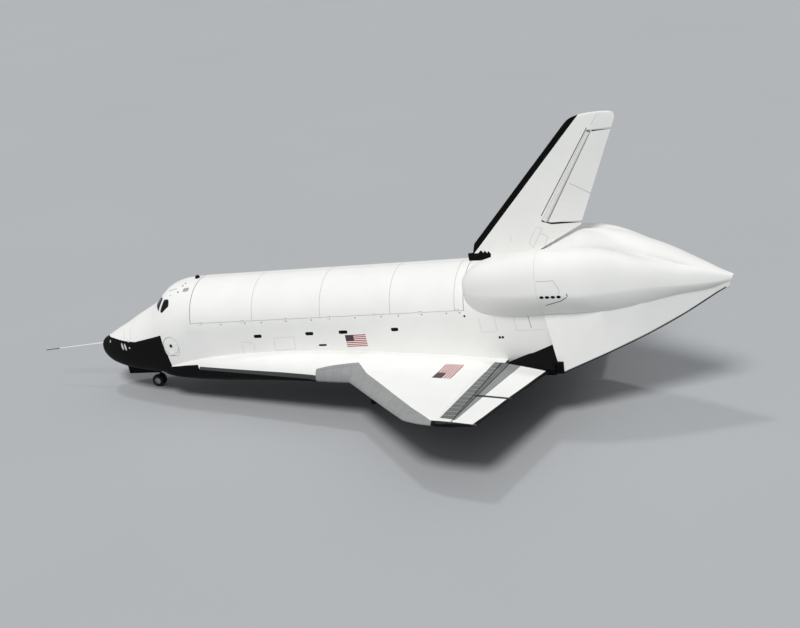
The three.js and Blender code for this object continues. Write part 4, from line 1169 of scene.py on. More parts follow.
@dataclass
class ForwardFuselage:
    """The nose cap, crew cabin shell, hatch and windows."""

    cabin: Cabin = field(default_factory=Cabin)
    pad: Point = (418.0, 0.0, 272.0)

    def build(self) -> None:
        """Builds the shell and what fills its openings."""
        cabin = self.cabin
        finishes = [BODY_SKIN, INNER_PRIMER]
        make_piece("nose_cap_skin", hull(238.25, NOSE_CAP_END - 0.15, quarter=20), FIXED, "black_coating",
                   finishes, ["nose_cap"])
        inside = hull(cabin.front, cabin.back, -cabin.wall, 1)
        inside = inside.cut(block((cabin.front - 1, -FAR, 0), (cabin.back + 1, FAR, cabin.floor), 1))
        front, back, half, roof = cabin.well
        openings = [cabin.opening(*window) for window in (*cabin.windows.values(), cabin.escape_panel)]
        x, y, z = self.pad
        shell = hull(NOSE_CAP_END, CABIN_END).cut(
            inside,
            block((front, -half, 0), (back, half, roof), 1),
            cabin.bay(0.15),
            cabin.hatch_hole(),
            *openings,
            *[opening.mirrored() for opening in openings],
        ).join(block((x - 6, y - 6, z), (x + 6, y + 6, z + 10), 2))
        make_piece("forward_fuselage_skin", shell, FIXED, "white_coating", [*finishes, MARK_BLACK],
                   ["forward_fuselage"])
        module = hull(NOSE_CAP_END, CABIN_END).keep(cabin.bay(-0.1))
        make_piece("thruster_module_skin", module, FIXED, "white_coating", finishes,
                   ["forward_thruster_module"])
        self.windows()
        self.hatch()

    def windows(self) -> None:
        """Builds the panes, their frames and the roof's escape panels."""
        cabin = self.cabin
        outer, inner = hull(430, 560, -0.7), hull(429, 561, -2.6)
        rim_outer, rim_inner = hull(430, 560, 0.12), hull(429, 561, -3.2)
        for name, window in cabin.windows.items():
            pane = cabin.opening(*window, shrink=1.0).keep(outer).cut(inner)
            ring = cabin.opening(*window, shrink=0.05).cut(cabin.opening(*window, shrink=1.3))
            ring = ring.keep(rim_outer).cut(rim_inner)
            for side in SIDES:
                make_piece(f"{name}_glass_{side}", on_side(pane.mirrored(), side), FIXED, "window_glass",
                           [WINDOW_GLASS], [f"{name}_{side}"])
                make_piece(f"{name}_frame_{side}", on_side(ring.mirrored(), side), FIXED, "white_coating",
                           [MARK_GREY])
        panel = cabin.opening(*cabin.escape_panel, shrink=0.25).keep(hull(480, 560)).cut(hull(479, 561, -5))
        for side in SIDES:
            make_piece(f"escape_panel_skin_{side}", on_side(panel.mirrored().painted(0), side), FIXED,
                       "white_coating", [PLAIN_SKIN], [f"escape_panel_{side}"])

    def hatch(self) -> None:
        """Builds the side hatch, its hinge and window."""
        cabin = self.cabin
        x, z, _ = cabin.hatch
        wall = hull(470, 550).cut(hull(469, 551, -cabin.wall, 1))
        port = rod((x, -FAR / 3, z), (x, -50, z), 5.0, sides=40, paint=1)
        disc = wall.keep(cabin.hatch_hole(0.5, 0.1)).cut(port)
        barrel = rod((x - 6.5, -101.3, 340.2), (x + 6.5, -101.3, 340.2), 0.9)
        web = block((x - 4, -102.2, 340.6), (x + 4, -97.5, 346.2))
        make_piece("side_hatch_skin", disc.join(barrel, web), "side_hatch", "white_coating",
                   [BODY_SKIN, INNER_PRIMER], ["side_hatch"])
        ring = port.keep(hull(470, 550, 0.15)).cut(hull(469, 551, -3),
                                                   rod((x, -FAR, z), (x, 0, z), 4.1, sides=40))
        make_piece("hatch_window_frame", ring.painted(0), "side_hatch", "white_coating", [MARK_GREY])
        glass = rod((x, -FAR / 3, z), (x, -50, z), 4.3, sides=40).keep(hull(470, 550, -0.5))
        make_piece("hatch_window_glass", glass.cut(hull(469, 551, -2.8)), "side_hatch", "window_glass",
                   [WINDOW_GLASS], ["hatch_window"])


@dataclass
class PayloadBay:
    """The open trough of the mid fuselage and its two doors."""

    front: float = 592.0
    back: float = 1298.0
    radius: float = 93.0
    sill: float = 419.3
    hinge: tuple[float, ...] = (101.9, 419.5, 1.0)
    knuckle: float = 2.4
    ear: float = 1.8
    hinge_stations: tuple[float, ...] = (612, 729, 846, 963, 1080, 1197, 1290)
    door_ends: tuple[float, float] = (584.0, 1305.4)
    door_skin: float = 6.0
    door_lower: float = 420.0

    def build(self) -> None:
        """Builds the trough, its lining and the doors."""
        self.trough()
        self.lining()
        for side in SIDES:
            self.door(side)

    def hinge_ears(self, x: float) -> list[Solid]:
        """Makes the two brackets of a hinge on the sill."""
        y, z, radius = self.hinge
        outline = [(y - 4.5, z - 6), (y - 0.4, z - 6), (y + radius, z - 1.6), (y + radius, z + radius),
                   (y - radius, z + radius), (y - radius, z - 0.3), (y - 4.5, z - 0.3)]
        near = self.knuckle / 2 + GAP
        return [prism(outline, "x", *sorted((x + end * near, x + end * (near + self.ear))))
                for end in (-1, 1)]

    def trough(self) -> None:
        """Builds the shell of the mid fuselage."""
        hollow = rod((self.front, 0, WAIST), (self.back, 0, WAIST), self.radius, sides=120, paint=1)
        over = block((self.front, -self.radius, WAIST), (self.back, self.radius, FAR * 2), 1)
        above = block((CABIN_END, -FAR, self.sill), (BAY_END, FAR, FAR * 2), 1)
        shell = hull(CABIN_END + GAP, BAY_END, quarter=28).cut(hollow, over, above)
        ears = together(ear for x in self.hinge_stations for ear in self.hinge_ears(x))
        shell = shell.join(ears, ears.mirrored())
        make_piece("mid_fuselage_skin", shell, FIXED, "white_coating", [BODY_SKIN, INNER_PRIMER],
                   ["mid_fuselage"])

    def lining(self) -> None:
        """Builds the quilted liner, the frames and the cable trays of the bay."""
        outside = rod((self.front + 0.5, 0, WAIST), (self.back - 0.5, 0, WAIST), self.radius - 0.05,
                      sides=120)
        inside = rod((self.front, 0, WAIST), (self.back, 0, WAIST), self.radius - 1.0, sides=120)
        top = block((0, -FAR, 392), (FAR * 5, FAR, FAR * 3))
        make_piece("bay_liner", outside.cut(inside, top), FIXED, "white_coating", [LINER])
        frames = []
        for x in np.arange(self.front + 27.5, self.back - 20, 54.0):
            ring = rod((x - 1.2, 0, WAIST), (x + 1.2, 0, WAIST), self.radius - 0.6, sides=96)
            frames.append(ring.cut(rod((x - 2, 0, WAIST), (x + 2, 0, WAIST), self.radius - 3.2, sides=96),
                                   top))
        make_piece("bay_frames", together(frames), FIXED, "inner_structure", [INNER_PRIMER], bevel=0.15)
        rails = [block((self.front + 1, side * 88 - 2, 408), (self.back - 1, side * 88 + 2, 412))
                 for side in (-1, 1)]
        trays = [block((self.front + 1, side * 76 - 3, 352), (self.back - 1, side * 76 + 3, 353.5))
                 for side in (-1, 1)]
        posts = [block((x - 1, side * 91 - 2, 408), (x + 1, side * 91 + 2, 418))
                 for side in (-1, 1) for x in np.arange(self.front + 20, self.back - 10, 60.0)]
        make_piece("bay_rails", together(rails), FIXED, "gear_metal", [ALLOY], bevel=0.2)
        make_piece("bay_cable_trays", together(trays), FIXED, "gear_metal", [ALLOY])
        make_piece("bay_sill_posts", together(posts), FIXED, "inner_structure", [INNER_PRIMER], bevel=0.2)

    def door(self, side: str) -> None:
        """Builds one door with its hinge arms, inner frames and quilted inner skin."""
        start, end = self.door_ends
        y, z, radius = self.hinge
        inner_radius = 102.5 - self.door_skin
        inner = rod((start - 1, 0, WAIST), (end + 1, 0, WAIST), inner_radius, sides=144, paint=1)
        below = block((start - 1, -FAR, 0), (end + 1, FAR, self.door_lower), 1)
        across_seam = block((start - 1, -FAR, 0), (end + 1, 0.3, FAR * 2), 1)
        reach = self.knuckle / 2 + self.ear + 0.5
        notches = together(block((x - reach, y - 9, 0), (x + reach, y + 9, z + 3), 1)
                           for x in self.hinge_stations)
        arms = []
        for x in self.hinge_stations:
            near, far = x - self.knuckle / 2, x + self.knuckle / 2
            barrel = rod((near, y, z), (far, y, z), radius, sides=24)
            outline = [(y - 0.8, z - 0.5), (y, z + 0.9), (y - 2.2, z + 5), (y - 6, z + 5), (y - 3.5, z + 1.5)]
            arms.append(barrel.join(prism(outline, "x", near, far)))
        shell = hull(start, end, quarter=28).cut(inner, below, across_seam, notches).join(together(arms))
        body = f"payload_door_{side}"
        make_piece(f"payload_door_skin_{side}", on_side(shell, side), body, "white_coating",
                   [DOOR_SKIN, LINER], [body])
        frames = []
        for x in (*self.segment_ends(), *np.arange(start + 40, end - 20, 60.2)):
            ring = rod((x - 0.9, 0, WAIST), (x + 0.9, 0, WAIST), inner_radius + 0.3, sides=96)
            hollow = rod((x - 2, 0, WAIST), (x + 2, 0, WAIST), inner_radius - 1.6, sides=96)
            frames.append(ring.cut(hollow, block((0, -FAR, 0), (2000, 3, 900)),
                                   block((0, 0, 0), (2000, FAR, 436))))
        make_piece(f"payload_door_frames_{side}", on_side(together(frames), side), body, "inner_structure",
                   [INNER_PRIMER], bevel=0.15)

    def segment_ends(self) -> tuple[float, ...]:
        """Stations where the five door segments meet, with the two ends."""
        return 586.0, 759.0, 943.0, 1125.0, 1303.0


@dataclass
class AftFuselage:
    """The aft body, the pods on its shoulders and the fairings inboard of the elevons."""

    wall: float = 8.0
    fairing: tuple[tuple[float, tuple[tuple[float, float], ...]], ...] = (
        (1391.0, ((100, 290), (124, 288), (124, 271), (100, 271))),
        (1512.0, ((100, 338), (146, 287), (141, 272), (100, 272))),
    )
    stub: tuple[float, ...] = (1505.0, BASE, 95.0, 137.0, 273.5, 299.0)
    pad: Point = (1318.0, 76.0, 263.0)
    bed: tuple[float, ...] = (1400.0, 1480.0, 62.0, 275.0, 300.0)

    def build(self) -> None:
        """Builds the shell, its fairings and the pods."""
        rings = np.array([[(x, y, z) for y, z in corners] for x, corners in self.fairing], float)
        start, end, inner, outer, bottom, top = self.stub
        stub = block((start, inner, bottom), (end, outer, top), 2)
        flared = loft(rings, 2).join(stub).cut(cone_body(GAP).keep(behind_seam(-GAP)), hull(1380, 1540, -2))
        front, back, half, low, high = self.bed
        bed = block((front, -half, low), (back, half, high - GAP), 1)
        shell = hull(BAY_END + GAP, BASE, quarter=28).join(HUMP.solid(1440, 1503, quarter=16))
        shell = shell.cut(hull(BAY_END + self.wall, BASE + 10, -self.wall, 1), behind_seam(0))
        x, y, z = self.pad
        foot = block((x - 6, y - 6, z), (x + 6, y + 6, z + 10), 2)
        shell = shell.join(bed, flared, flared.mirrored(), foot, foot.mirrored())
        make_piece("aft_fuselage_skin", shell, FIXED, "white_coating",
                   [BODY_SKIN, INNER_PRIMER, BLACK_SIDE_TILE], ["aft_fuselage"])
        pod = POD.solid(1307, 1512, quarter=20).cut(
            hull(1300, BASE, GAP, quarter=28), HUMP.solid(1440, 1520, GAP, 16), behind_seam(0))
        for side in SIDES:
            make_piece(f"oms_pod_skin_{side}", on_side(pod.painted(0), side), FIXED, "white_coating",
                       [PLAIN_SKIN], [f"oms_pod_{side}"])


# x, shoulder half width, top, shoulder height, chine half width, bottom
CONE = (
    (1490, 104, 502, 404, 124, 272),
    (1530, 104, 502, 405, 134, 273.5),
    (1625, 97, 498, 409, 98, 301),
    (1708, 74, 476, 414, 64, 327.5),
    (1787, 42, 450, 418, 34, 359.5),
    (1860, 13, 434, 423, 8, 396),
    (CONE_TIP, 4, 430, 425, 4, 408),
)


def cone_body(grow: float) -> Solid:
    """Makes the flat-sided lower part of the tail cone.

    Args:
        grow: how far it is grown all round.

    Returns:
        The solid.
    """
    rings = []
    for x, shoulder, top, height, chine, bottom in CONE:
        angle = np.linspace(0, np.pi / 2, 17)[:-1]
        over = (shoulder + grow) * np.cos(angle)
        up = height + (top - height + grow) * np.sin(angle)
        starboard = [(chine - 4, bottom - grow), (chine + grow, bottom + 4), *zip(over, up)]
        port = [(-y, z) for y, z in reversed(starboard)]
        rings.append([(x, y, z) for y, z in (*starboard, (0, top + grow), *port)])
    return loft(np.array(rings, float))


@dataclass
class TailCone:
    """The cone that covers the base of the body: a flat-sided body, two lobes and a hump."""

    wall: float = 8.0
    hollow_end: float = 1800.0
    tip_face: Outline = ((CONE_TIP, 431), (1884, 404), (1864, 380), (2000, 380), (2000, 431))

    def build(self) -> None:
        """Joins the forms and hollows the cone."""
        lobe = POD.solid(1470, CONE_TIP, quarter=20)
        outside = cone_body(0).join(lobe, lobe.mirrored(), HUMP.solid(1470, CONE_TIP, quarter=16))
        hollow = cone_body(-self.wall).keep(block((1400, -FAR, 0),
                                                  (self.hollow_end, FAR, FAR * 2))).painted(1)
        inner_lobe = POD.solid(1480, self.hollow_end, -self.wall, 12, 1)
        shell = outside.keep(behind_seam(0.35)).cut(
            hollow, inner_lobe, inner_lobe.mirrored(), prism(self.tip_face, "y", -FAR, FAR))
        make_piece("tail_cone_skin", shell, FIXED, "white_coating", [PLAIN_SKIN, INNER_PRIMER], ["tail_cone"])


# Wing


@dataclass(frozen=True)
class WingForm:
    """The wing's shape and the lines that its pieces are cut along."""

    # span, leading edge x, leading edge height, rise of the upper skin
    plan: Rows = (
        (84, 456, 291, 50), (99, 479, 291, 50), (105, 500, 291, 50), (121, 600, 291, 48),
        (145, 752, 291.5, 43),
        (188, 1024, 293, 26), (230, 1066, 295, 23), (312.5, 1148.5, 299, 15.5), (370, 1206, 302, 12),
        (424, 1262, 304.5, 9), (440, 1292, 305.5, 7), (452, 1327, 306, 6), (459, 1358, 306.5, 5),
    )
    # span, leading edge x, leading edge height, rise, trailing edge height, depth
    tip: Rows = ((464, 1392, 307.5, 2.6, 309, 2),
                                          (468.3, 1429, 308.5, 0.8, 309.5, 0.8))
    hinge: float = 1387.0
    root: float = 125.0
    split: float = 312.5
    end: float = 459.0
    gap: float = 1.2
    panel_front: float = 1351.0
    chord_steps: int = 44
    edge_band: Outline = (
        (937, 165), (1047, 159), (1160, 272), (1272, 385), (1345, 452), (1380, 500), (1300, 520), (900, 300),
    )

    def trailing_edge(self, span: float) -> float:
        """Gives x of the trailing edge."""
        return 1525.2 - 0.1773 * span

    def hinge_height(self, span: float) -> float:
        """Gives z of the elevon hinge line."""
        return 288.3 + 0.0575 * (span - self.root)

    def nose_radius(self, span: float) -> float:
        """Gives the radius of the elevon's rounded front."""
        return 10.2 - 0.018 * (span - self.root)

    def camber(self, share: Any) -> Any:
        """Gives the height share of the skin along the chord."""
        return 2.598 * np.sqrt(share) * (1 - share)

    def sections(self) -> np.ndarray:
        """Gives close sections along the span: span, edge, its height, rise, trailing height, depth."""
        rows = []
        for span, edge, edge_height, rise in self.plan:
            share = (self.hinge - edge) / (self.trailing_edge(span) - edge)
            high = self.hinge_height(span) + self.nose_radius(span) - rise * self.camber(share)
            trailing = edge_height + (high - edge_height) / share
            rows.append((span, edge, edge_height, rise, trailing,
                         2 * self.nose_radius(span) / self.camber(share) - rise))
        table = np.array([*rows, *self.tip])
        spans = np.unique(np.concatenate([np.arange(84, 188, 6.5), np.arange(188, 424, 10),
                                          np.arange(424, 468.3, 2), table[:, 0]]))
        smooth = monotone(table[:, 0], table[:, 1:], spans)
        straight = np.interp(spans, table[:, 0], table[:, 1])
        smooth[:, 0] = np.where(spans < 424, straight, smooth[:, 0])
        return np.column_stack([spans, smooth])

    def ring(self, row: np.ndarray) -> np.ndarray:
        """Gives the points round one section."""
        span, edge, edge_height, rise, trailing, depth = row
        share = (1 - np.cos(np.pi * np.arange(self.chord_steps + 1) / self.chord_steps)) / 2
        line = edge_height + (trailing - edge_height) * share
        x = edge + (self.trailing_edge(span) - edge) * share
        upper = np.column_stack([x, np.full(len(x), span), line + rise * self.camber(share) + 0.3 * share])
        lower = np.column_stack([x, np.full(len(x), span), line - depth * self.camber(share) - 0.3 * share])
        return np.vstack([upper, lower[:0:-1]])

    @functools.cached_property
    def whole(self) -> Solid:
        """The whole starboard wing: finish 0 on top and 1 below."""
        paints = [0] * self.chord_steps + [1] * (self.chord_steps + 1)
        return loft(np.array([self.ring(row) for row in self.sections()]), 0, paints)

    def slab(self, start: float, end: float, front: Callable[[float], float], back: Callable[[float], float],
             floor: Callable[[float], float], roof: Callable[[float], float], paint: int = 2) -> Solid:
        """Makes a slab over part of the span that follows the hinge line.

        Args:
            start: first span station.
            end: last span station.
            front: x of its front at a span.
            back: x of its back.
            floor: height of its floor over the hinge line.
            roof: height of its roof.
            paint: finish number.

        Returns:
            The slab.
        """
        rings = []
        for span in (start, end):
            line = self.hinge_height(span)
            low, high = line + floor(span), line + roof(span)
            rings.append([(front(span), span, low), (back(span), span, low), (back(span), span, high),
                          (front(span), span, high)])
        return loft(np.array(rings), paint)

    def roll(self, start: float, end: float, grow: float, paint: int = 2) -> Solid:
        """Makes the round front of an elevon, grown by a clearance."""
        places = [(self.hinge, span, self.hinge_height(span)) for span in (start, end)]
        return rod(*places, self.nose_radius(start) + grow, self.nose_radius(end) + grow, 64, paint)

    def elevon_bay(self) -> Solid:
        """Makes the space that the elevons turn in."""
        start, end = self.root - 0.9, self.end
        upper = self.slab(start, end, lambda y: self.hinge - 0.62 * self.nose_radius(y), lambda y: 1600,
                          lambda y: 0, lambda y: 60)
        lower = self.slab(start, end, lambda y: self.hinge - 0.42 * self.nose_radius(y), lambda y: 1600,
                          lambda y: -60, lambda y: 0)
        return self.roll(start, end, 0.55).join(upper, lower)

    def seal_strip(self, grow: float) -> Solid:
        """Makes the space of the panels over the elevon hinge."""
        return self.slab(self.root - grow, self.end + grow, lambda y: self.panel_front - grow,
                         lambda y: self.hinge + 10, lambda y: self.nose_radius(y) - 1.2 - grow, lambda y: 60)

    def edge_space(self, grow: float) -> Solid:
        """Makes the space of the leading edge band, seen from above."""
        outline = [(x + (grow if k else -grow), y - grow) for k, (x, y) in enumerate(self.edge_band)]
        return prism(outline, "z", 200, 400, 2)


WING = WingForm()


@dataclass
class Wing:
    """The wings with their leading edges, seals and elevons."""

    well: tuple[float, ...] = (1056.0, 1200.0, 108.0, 162.0, 309.0)
    lug_width: float = 2.4
    lug_radius: float = 2.5
    pin_radius: float = 1.0
    lug_spans: Rows = ((145, 218, 292), (332, 440))

    def build(self) -> None:
        """Builds every piece of both wings."""
        front, back, inner, outer, roof = self.well
        base = WING.whole.cut(
            hull(440, BASE, GAP, quarter=28),
            WING.elevon_bay(),
            block((WING.hinge + 3.5, 0, 200), (1600, WING.root, 400), 2),
            WING.seal_strip(0.15),
            WING.edge_space(0.1),
            block((front, inner, 200), (back, outer, roof), 2),
        ).join(*[self.lug(span) for span in sum(self.lug_spans, ())])
        edge = WING.whole.keep(WING.edge_space(0))
        seal = WING.whole.keep(WING.seal_strip(0)).cut(WING.elevon_bay())
        inboard = self.elevon(120, WING.split - WING.gap, self.lug_spans[0]).cut(self.elevon_root())
        outboard = self.elevon(WING.split + WING.gap, WING.end - WING.gap, self.lug_spans[1])
        for side in SIDES:
            make_piece(f"wing_skin_{side}", on_side(base, side), FIXED, "white_coating",
                       [GLOVE_SKIN, BLACK_TILE, ROLL_GREY], [f"wing_{side}"])
            make_piece(f"wing_edge_skin_{side}", on_side(edge, side), FIXED, "leading_edge_grey",
                       [EDGE_GREY, EDGE_GREY, INNER_PRIMER], [f"wing_leading_edge_{side}"])
            make_piece(f"elevon_seal_skin_{side}", on_side(seal, side), FIXED, "seal_panel_grey",
                       [SEAL_GREY], [f"elevon_seal_{side}"])
            for name, leaf in (("inboard", inboard), ("outboard", outboard)):
                body = f"elevon_{name}_{side}"
                make_piece(f"elevon_skin_{name}_{side}", on_side(leaf, side), body, "white_coating",
                           [ELEVON_SKIN, BLACK_TILE, ROLL_GREY], [body])

    def place(self, span: float) -> tuple[float, float, float]:
        """Gives a place on the hinge line."""
        return WING.hinge, span, WING.hinge_height(span)

    def lug(self, span: float) -> Solid:
        """Makes one hinge lug of the wing, bored for its pin."""
        half = self.lug_width / 2
        eye = rod(self.place(span - half), self.place(span + half), self.lug_radius, paint=2)
        x, _, z = self.place(span)
        arm = block((x - 18, span - half, z - 2.2), (x, span + half, z + 2.2), 2)
        return eye.join(arm).cut(rod(self.place(span - 2.2), self.place(span + 2.2), self.pin_radius + 0.05,
                                     paint=2))

    def elevon(self, start: float, end: float, lugs: Sequence[float]) -> Solid:
        """Makes one elevon, slotted for the wing's lugs and with a pin through each.

        Args:
            start: span station of its inner end.
            end: span station of its outer end.
            lugs: span stations of the lugs.

        Returns:
            The elevon.
        """
        aft = WING.slab(start, end, lambda y: WING.hinge, lambda y: 1600, lambda y: -60, lambda y: 60)
        leaf = WING.whole.keep(aft).join(WING.roll(start, end, -0.05))
        half = self.lug_width / 2 + 0.5
        x = WING.hinge
        slots = together(block((x - 20, y - half, 200), (x + self.lug_radius + 0.5, y + half, 400), 2)
                         for y in lugs)
        pins = together(rod(self.place(y - 2.2), self.place(y + 2.2), self.pin_radius, paint=2) for y in lugs)
        return leaf.cut(slots).join(pins)

    def elevon_root(self) -> Solid:
        """Makes the space inboard of the inboard elevon."""
        slope = (146 - 124) / (1512 - 1391)
        edge = WING.root + 0.7
        outline = [(1300, 0), (1300, edge), (1391, edge), (1560, edge + 169 * slope), (1560, 0)]
        return prism(outline, "z", 200, 400, 2)


# Fin


@dataclass(frozen=True)
class FinForm:
    """The fin's shape: a double wedge that is thickest on the rudder's hinge line."""

    wedge: float = math.tan(math.radians(5))
    hinge_share: float = 0.6
    # height, then how far the front and back edges are rounded off
    trims: Rows = (
        (470, 0, 0), (785, 0, 0), (795, 0, 0), (800, 0.4, 0), (805, 1.5, 1.8), (809, 4.5, 3.8), (812, 9, 6.5),
        (814.6, 18, 11), (816.4, 26, 19), (817, 34, 26),
    )
    rudder_bottom: float = 587.0
    rudder_top: float = 780.0
    pin_radius: float = 2.2
    pin_length: float = 4.0

    def front(self, z: float) -> float:
        """Gives x of the leading edge."""
        return 1277.9 + (z - 500)

    def back(self, z: float) -> float:
        """Gives x of the trailing edge."""
        return 1543.8 + 0.4862 * (z - 500)

    def hinge(self, z: float) -> float:
        """Gives x of the rudder's hinge line."""
        return self.front(z) + self.hinge_share * (self.back(z) - self.front(z))

    def half_thickness(self, z: float) -> float:
        """Gives half of the fin's thickness on the hinge line."""
        return self.hinge_share * (self.back(z) - self.front(z)) * self.wedge

    def ring(self, z: float, front_trim: float, back_trim: float) -> np.ndarray:
        """Gives the points round the section at one height."""
        front, back = self.front(z) + front_trim, self.back(z) - back_trim
        hinge, thick = self.hinge(z), self.half_thickness(z)
        run = (hinge - front) * np.linspace(0, 1, 20) ** 2
        flare = 1.5 * (1 - np.exp(-np.sqrt(run))) * (1 - run / (hinge - front))
        half = thick * run / (hinge - front) * 0.97 + flare
        half[-1] = thick
        rear = np.linspace(hinge, back, 9)[1:]
        x = np.concatenate([front + run, rear])
        y = np.concatenate([half, np.linspace(thick, 0.4, 9)[1:]])
        port = np.column_stack([x, -y])
        starboard = np.column_stack([x, y])[:0:-1]
        points = np.vstack([port, starboard])
        return np.column_stack([points, np.full(len(points), z)])

    @functools.cached_property
    def whole(self) -> Solid:
        """The whole fin."""
        table = np.array(self.trims)
        heights = np.concatenate([np.arange(470, 785, 15), np.arange(785, 816.5, 1.5), [816.4, 817]])
        trims = monotone(table[:, 0], table[:, 1:], heights)
        return loft(np.array([self.ring(z, *trim) for z, trim in zip(heights, trims)]))

    def along(self, z: float) -> tuple[float, float, float]:
        """Gives the place on the hinge line at a height."""
        return self.hinge(z), 0.0, z

    def shaft_cone(self, room: float = 0.0, stretch: float = 0.0, paint: int = 1) -> Solid:
        """Makes the rudder's tapered shaft, or with some room round it the space that it turns in."""
        low, high = self.rudder_bottom - stretch, self.rudder_top - 4 + stretch
        radii = [self.half_thickness(z) - 0.3 + room for z in (low, high)]
        return rod(self.along(low), self.along(high), *radii, 64, paint)

    def shaft_pins(self, stretch: float, room: float, paint: int = 1) -> Solid:
        """Makes the pins at both ends of the shaft."""
        reach = self.pin_length + stretch
        ends = self.along(self.rudder_bottom - reach), self.along(self.rudder_top - 4 + reach)
        return rod(*ends, self.pin_radius + room, paint=paint)

    def rudder_space(self, gap: float) -> Solid:
        """Makes the opening behind the fin box, or the leaf that fills it if the gap is negative."""
        low, high = self.rudder_bottom, self.rudder_top
        lip = [self.hinge(z) - 0.5 * self.half_thickness(z) for z in (low, high)]
        outline = [(lip[0], low - gap / 2), (1514, 578.5 - gap), (1581, 575.5 - gap), (1640, 573 - gap),
                   (1760, high + gap), (lip[1], high + gap)]
        return prism(outline, "y", -40, 40, 1)

    def edge_band(self, grow: float) -> Solid:
        """Makes the space of the black leading edge band."""
        back = 19 + grow
        outline = [(1200, 440), (self.front(440) + back, 440), (self.front(830) + back, 830), (1200, 830)]
        return prism(outline, "y", -40, 40, 1)

    def root_space(self) -> Solid:
        """Makes the space over the rear end of the payload doors, which the fin's root keeps out of."""
        return prism([(1200, 440), (1307, 440), (1307, 500), (1319.5, 541.6), (1200, 541.6)], "y", -40, 40, 1)


FIN = FinForm()


@dataclass
class Fin:
    """The fin with its leading edge band, and the rudder whose two panels open as a speed brake."""

    foot: tuple[tuple[float, float], ...] = ((1466, 516), (1579, 570), (1640, 570), (1640, 440), (1436, 440),
                                             (1436, 502))
    lug_heights: tuple[float, ...] = (606, 680, 752)

    def build(self) -> None:
        """Builds the fin's pieces."""
        body, hump = hull(1200, BASE, GAP, quarter=28), HUMP.solid(1440, 1504, GAP, 16)
        box = FIN.whole.cut(
            prism(self.foot, "y", -40, 40), body, hump, FIN.rudder_space(1.4), FIN.shaft_cone(0.5, 0.6),
            FIN.shaft_pins(0.4, 0.05), FIN.edge_band(0.1), FIN.root_space())
        make_piece("fin_skin", box, FIXED, "white_coating", [PLAIN_SKIN, JOINT_DARK], ["fin"])
        band = FIN.whole.keep(FIN.edge_band(0)).cut(body, FIN.root_space())
        make_piece("fin_edge_skin", band.painted(0), FIXED, "black_coating", [BLACK_SIDE_TILE],
                   ["fin_leading_edge"])
        shaft = FIN.shaft_cone().join(FIN.shaft_pins(0, 0)).painted(0)
        make_piece("rudder_shaft_skin", shaft, "rudder_shaft", "white_coating", [BOOM_WHITE],
                   ["rudder_shaft"])
        for side in SIDES:
            make_piece(f"rudder_panel_skin_{side}", on_side(self.panel(), side), f"rudder_panel_{side}",
                       "white_coating", [PLAIN_SKIN, JOINT_DARK], [f"rudder_panel_{side}"])

    def panel(self) -> Solid:
        """Makes the starboard rudder panel with its hinge lugs."""
        half = block((1400, 0.3, 500), (1800, 40, 900), 1)
        leaf = FIN.whole.keep(half, FIN.rudder_space(-3.0))
        forward = prism([(1300, 500), *[(FIN.hinge(z) + 1.02 * FIN.half_thickness(z), z) for z in (500, 900)],
                         (1300, 900)], "y", -40, 40, 1)
        ahead = prism([(1300, 500), (FIN.hinge(500), 500), (FIN.hinge(900), 900), (1300, 900)], "y", -40,
                      40, 1)
        bands = together(block((1400, 0.3, z - 5), (1800, 4.5, z + 5), 1) for z in self.lug_heights)
        lugs = leaf.keep(bands).cut(FIN.shaft_cone(0.05, 20), ahead)
        return leaf.cut(forward, FIN.shaft_cone(0.5, 20)).join(lugs)


# Markings


